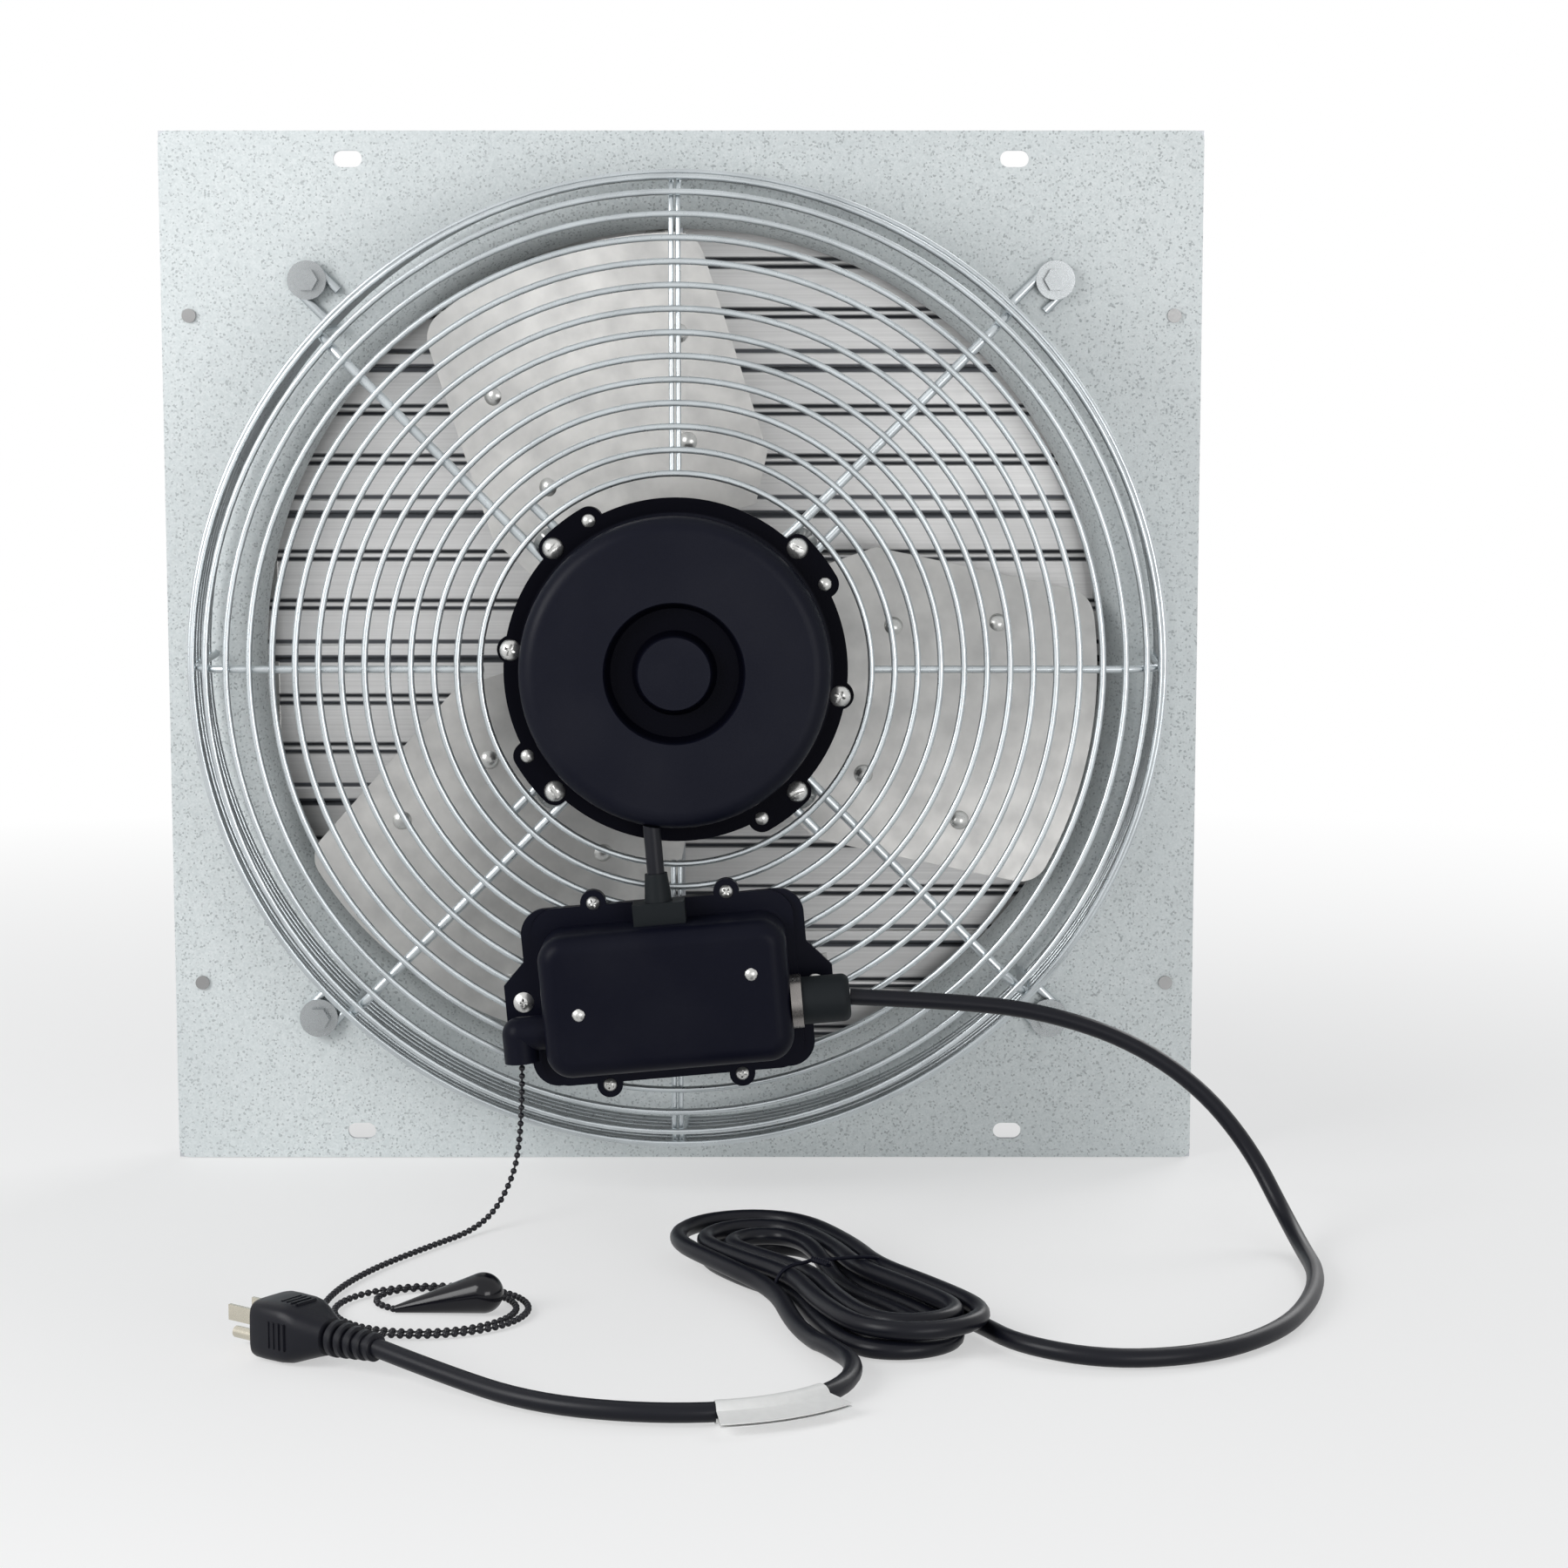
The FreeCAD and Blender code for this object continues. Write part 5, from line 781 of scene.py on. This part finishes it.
def moulded_plug():
    """Grip with rounded shoulders, and a strain relief of ribs that widen towards it."""
    rings = [rounded_ring(0, RELIEF_ROOT, RELIEF_ROOT, 2)]
    pitch = RELIEF_LENGTH / RELIEF_RIBS
    for rib in range(RELIEF_RIBS):
        start = rib * pitch
        low = RELIEF_ROOT + RELIEF_ROOT_GROWTH * rib / RELIEF_RIBS
        high = RELIEF_CREST + RELIEF_CREST_GROWTH * rib / RELIEF_RIBS
        edge = high - RIB_BEVEL
        profile = ((0.06, edge), (0.12, high), (0.55, high), (0.61, edge), (0.66, low), (0.98, low))
        for share, radius in profile:
            rings.append(rounded_ring(start + share * pitch, radius, radius, 2))
    for share, half_width, half_height, squareness in GRIP_RINGS:
        rings.append(rounded_ring(RELIEF_LENGTH + share * PLUG_LENGTH, half_width, half_height, squareness))
    bm = bmesh.new()
    add_rings(bm, rings)
    for turn, height in GRIP_RIB_SEATS:
        for rib in range(GRIP_RIBS):
            x = RELIEF_LENGTH + (GRIP_RIB_START + GRIP_RIB_PITCH * rib) * PLUG_LENGTH
            grip_rib = Matrix.Rotation(turn, 4, "X") @ Matrix.Translation((x, 0, height))
            grip_rib = grip_rib @ Matrix.Diagonal((*GRIP_RIB_SIZE, 1))
            made = bmesh.ops.create_cube(bm, size=1, matrix=grip_rib)
            edges = {edge for vert in made["verts"] for edge in vert.link_edges}
            bmesh.ops.bevel(bm, geom=list(edges), offset=RIB_BEVEL, segments=2, affect="EDGES")
    bmesh.ops.transform(bm, matrix=plug_matrix(), verts=bm.verts)
    return finished_mesh(bm, "moulded_plug")


plug = mesh_object("moulded_plug", moulded_plug(), cord_rubber)
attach(plug, "fan_frame")
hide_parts("plug_body")


# Wire tie round the hank: its ends are twisted together on top

def tie_route():
    """Control points of the tie: one twisted end, the loop, and the other twisted end."""
    def twisted(phase):
        points = []
        for step in range(1, TIE_QUARTERS + 1):
            angle = phase + math.pi / 2 * step
            along = TIE_TAIL * step / TIE_QUARTERS
            across = TIE_ROOT + TIE_TWIST * math.cos(angle)
            height = TIE_TOP + TIE_WIRE + TIE_TWIST * (1 + math.sin(angle)) + TIE_RISE * along
            points.append(hank_point(along, across, height))
        return points

    half = TIE_HALF
    inner = TIE_HALF - TIE_CORNER
    shoulder = TIE_TOP - TIE_CORNER
    loop = [(TIE_ROOT, TIE_TOP + TIE_WIRE), (inner, TIE_TOP), (half, shoulder), (half, TIE_CORNER),
            (inner, TIE_WIRE), (-inner, TIE_WIRE), (-half, TIE_CORNER), (-half, shoulder),
            (-inner, TIE_TOP), (TIE_ROOT, TIE_TOP + TIE_WIRE)]
    ring = [hank_point(0, across, height) for across, height in loop]
    return twisted(math.pi)[::-1] + ring + twisted(0)


tie = spline_object("hank_tie_wire", tie_route(), TIE_WIRE, black_plastic)
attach(tie, "fan_frame")
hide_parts("hank_tie")


# Blank tag folded round the cord between the hank and the plug

def folded_tag(line):
    """A film loop round the cord whose two leaves lie together on the side away from the panel."""
    middle = on_floor(*TAG_MIDDLE, CORD_RADIUS)
    nearest = min(range(len(line)), key=lambda index: (line[index] - middle).length)
    places = stations(line[nearest - TAG_SEARCH:nearest + TAG_SEARCH], TAG_LENGTH / TAG_STEPS)
    centre = min(range(len(places)), key=lambda index: (places[index][0] - middle).length)
    start = max(0, centre - TAG_STEPS // 2)
    bm = bmesh.new()
    rings = []
    wrap = CORD_RADIUS + TAG_LOOSE
    for point, heading in places[start:start + TAG_STEPS + 1]:
        level, up = cross_frame(heading)
        if level.y > 0:
            level = -level
        inside = [(TAG_LEAF + wrap, TAG_LOWER_LEAF)]
        for degrees in range(-20, -341, -20):
            angle = math.radians(degrees)
            inside.append((wrap * math.cos(angle), wrap * math.sin(angle)))
        inside.append((TAG_LEAF + wrap, TAG_UPPER_LEAF))
        outer = []
        for index, (across, upward) in enumerate(inside):
            away = Vector((across, upward)).normalized() * TAG_GAUGE
            if index in (0, len(inside) - 1):
                away = Vector((0, -TAG_GAUGE if index == 0 else TAG_GAUGE))
            outer.append((across + away.x, upward + away.y))
        ring = [point + level * across + up * upward for across, upward in outer + inside[::-1]]
        rings.append(ring)
    add_rings(bm, rings)
    return finished_mesh(bm, "cord_tag")


cord_line = spline_points(cord_route())
tag = mesh_object("cord_tag", folded_tag(cord_line), tag_white)
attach(tag, "fan_frame")


# Screw heads with their slots

def loose_parts(bm):
    """The separate shells of a mesh, as lists of vertices."""
    seen = set()
    parts = []
    for vert in bm.verts:
        if vert in seen:
            continue
        part = []
        stack = [vert]
        seen.add(vert)
        while stack:
            here = stack.pop()
            part.append(here)
            for edge in here.link_edges:
                other = edge.other_vert(here)
                if other not in seen:
                    seen.add(other)
                    stack.append(other)
        parts.append(part)
    return parts


def add_slot(bm, place, turn, size):
    """Add the block that cuts one slot, with its middle on the top of the head."""
    slot = Matrix.Translation(place) @ Matrix.Rotation(turn, 4, "Y") @ Matrix.Diagonal((*size, 1))
    bmesh.ops.create_cube(bm, size=1, matrix=slot)


def slotted_copy(node_name, piece_name, is_slotted, slot_for):
    """A copy of a node's fasteners with slots cut into the heads; it stands for the node."""
    bm = bmesh.new()
    bm.from_mesh(nodes[node_name].data)
    bmesh.ops.remove_doubles(bm, verts=bm.verts, dist=MERGE_DISTANCE)
    tool = bmesh.new()
    for index, part in enumerate(loose_parts(bm)):
        low = Vector([min(vert.co[axis] for vert in part) for axis in range(3)])
        high = Vector([max(vert.co[axis] for vert in part) for axis in range(3)])
        top = Vector(((low.x + high.x) / 2, low.y, (low.z + high.z) / 2))
        if is_slotted(low, high):
            for turn, size in slot_for(top, index):
                add_slot(tool, top, turn, size)
    mesh = bpy.data.meshes.new(piece_name)
    bm.to_mesh(mesh)
    bm.free()
    tool_mesh = bpy.data.meshes.new("slot_tool")
    tool.to_mesh(tool_mesh)
    tool.free()
    piece = mesh_object(piece_name, mesh, zinc_hardware)
    cutter = mesh_object("slot_tool", tool_mesh, None)
    modifier = piece.modifiers.new("slots", "BOOLEAN")
    modifier.operation = "DIFFERENCE"
    modifier.solver = "EXACT"
    modifier.use_self = True
    modifier.object = cutter
    bpy.context.view_layer.update()
    cut = bpy.data.meshes.new_from_object(piece.evaluated_get(bpy.context.evaluated_depsgraph_get()))
    piece.modifiers.clear()
    piece.data = cut
    cut.shade_smooth()
    cut.set_sharp_from_angle(angle=SCREW_SHARP_ANGLE)
    bpy.data.objects.remove(cutter)
    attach(piece, "fan_frame")
    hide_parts(node_name)


def motor_head(low, high):
    """Whether a fastener of the motor, given by its bounds, has a head to slot."""
    return low.y < MOTOR_HEAD_PLANE and high.x - low.x > MOTOR_HEAD_WIDTH


def motor_slots(top, index):
    """One broad slot in each guard screw, at its own angle, and a cross in each case screw."""
    if abs(top.z) < CASE_SCREW_HEIGHT:
        turn = 0.4
        return ((turn, CASE_SCREW_SLOT), (turn + math.pi / 2, CASE_SCREW_SLOT))
    return ((0.5 + 0.9 * index, GUARD_SCREW_SLOT),)


def box_head(low, high):
    """Whether a fastener of the switch box, given by its bounds, has a head to slot."""
    return BOX_COVER_TOP < low.y < BOX_HEAD_PLANE


def box_slots(top, index):
    """A cross in each cover screw, at its own angle."""
    turn = 0.3 + 0.7 * index
    return ((turn, BOX_SCREW_SLOT), (turn + math.pi / 2, BOX_SCREW_SLOT))


slotted_copy("motor_screws", "motor_screw_set", motor_head, motor_slots)
slotted_copy("box_screws", "box_screw_set", box_head, box_slots)


# Floor, world and lamps

def seen_rays(tree):
    """One for rays from the camera and for rays that metal or glass sends on, else zero."""
    path = tree.nodes.new("ShaderNodeLightPath")
    seen = path.outputs["Is Camera Ray"]
    for name in ("Is Glossy Ray", "Is Transmission Ray"):
        either = tree.nodes.new("ShaderNodeMath")
        either.operation = "MAXIMUM"
        tree.links.new(seen, either.inputs[0])
        tree.links.new(path.outputs[name], either.inputs[1])
        seen = either.outputs["Value"]
    return seen


def add_floor():
    """White floor that keeps the shadows near the object and fades into the background."""
    bm = bmesh.new()
    bmesh.ops.create_grid(bm, x_segments=1, y_segments=1, size=FLOOR_HALF,
                          matrix=Matrix.Translation((0, 0, FLOOR - FLOOR_DROP)))
    mesh = bpy.data.meshes.new("floor")
    bm.to_mesh(mesh)
    bm.free()
    material = bpy.data.materials.new("floor_white")
    material.use_nodes = True
    tree = material.node_tree
    shader = tree.nodes["Principled BSDF"]
    shader.inputs["Base Color"].default_value = (0.90, 0.90, 0.90, 1.0)
    shader.inputs["Roughness"].default_value = 0.9
    shader.inputs["Specular IOR Level"].default_value = 0.0
    glow = tree.nodes.new("ShaderNodeEmission")
    place = tree.nodes.new("ShaderNodeTexCoord")
    reach = tree.nodes.new("ShaderNodeVectorMath")
    reach.operation = "LENGTH"
    whiter = tree.nodes.new("ShaderNodeMapRange")
    whiter.inputs["From Min"].default_value = FADE_START
    whiter.inputs["From Max"].default_value = FADE_END
    whiter.inputs["To Min"].default_value = FADE_LEAST
    share = tree.nodes.new("ShaderNodeMath")
    share.operation = "MULTIPLY"
    mix = tree.nodes.new("ShaderNodeMixShader")
    tree.links.new(place.outputs["Object"], reach.inputs[0])
    tree.links.new(reach.outputs["Value"], whiter.inputs["Value"])
    tree.links.new(whiter.outputs["Result"], share.inputs[0])
    tree.links.new(seen_rays(tree), share.inputs[1])
    tree.links.new(share.outputs["Value"], mix.inputs["Fac"])
    tree.links.new(shader.outputs["BSDF"], mix.inputs[1])
    tree.links.new(glow.outputs["Emission"], mix.inputs[2])
    tree.links.new(mix.outputs["Shader"], tree.nodes["Material Output"].inputs["Surface"])
    floor = mesh_object("floor", mesh, material)


def add_world():
    """White where the camera or a reflection sees it, and softer as light on the object."""
    world = bpy.data.worlds.new("studio")
    bpy.context.scene.world = world
    world.use_nodes = True
    tree = world.node_tree
    soft = tree.nodes["Background"]
    soft.inputs["Color"].default_value = (0.95, 0.98, 1.0, 1.0)
    soft.inputs["Strength"].default_value = WORLD_STRENGTH
    white = tree.nodes.new("ShaderNodeBackground")
    white.inputs["Color"].default_value = (1.0, 1.0, 1.0, 1.0)
    mix = tree.nodes.new("ShaderNodeMixShader")
    tree.links.new(seen_rays(tree), mix.inputs["Fac"])
    tree.links.new(soft.outputs["Background"], mix.inputs[1])
    tree.links.new(white.outputs["Background"], mix.inputs[2])
    tree.links.new(mix.outputs["Shader"], tree.nodes["World Output"].inputs["Surface"])


def add_lamp(name, place, aim, width, height, power):
    """An oblong lamp at a place, turned towards its aim, with its power in watts."""
    data = bpy.data.lights.new(name, "AREA")
    data.shape = "RECTANGLE"
    data.size = width
    data.size_y = height
    data.energy = power
    lamp = bpy.data.objects.new(name, data)
    lamp.location = place
    lamp.rotation_euler = (Vector(aim) - Vector(place)).to_track_quat("-Z", "Y").to_euler()
    bpy.context.scene.collection.objects.link(lamp)


add_floor()
add_world()
add_lamp("key_left", place=(-1.1, -1.0, 0.5), aim=(-0.08, 0, -0.02), width=0.8, height=0.8, power=14)
add_lamp("fill_right", place=(0.9, -2.0, 0.05), aim=(-0.05, 0, -0.05), width=1.0, height=0.6, power=10)
add_lamp("shutter_side", place=(1.2, 1.6, 1.3), aim=(0, 0, 0), width=1.2, height=1.2, power=20)

bpy.context.scene.view_settings.view_transform = "Standard"
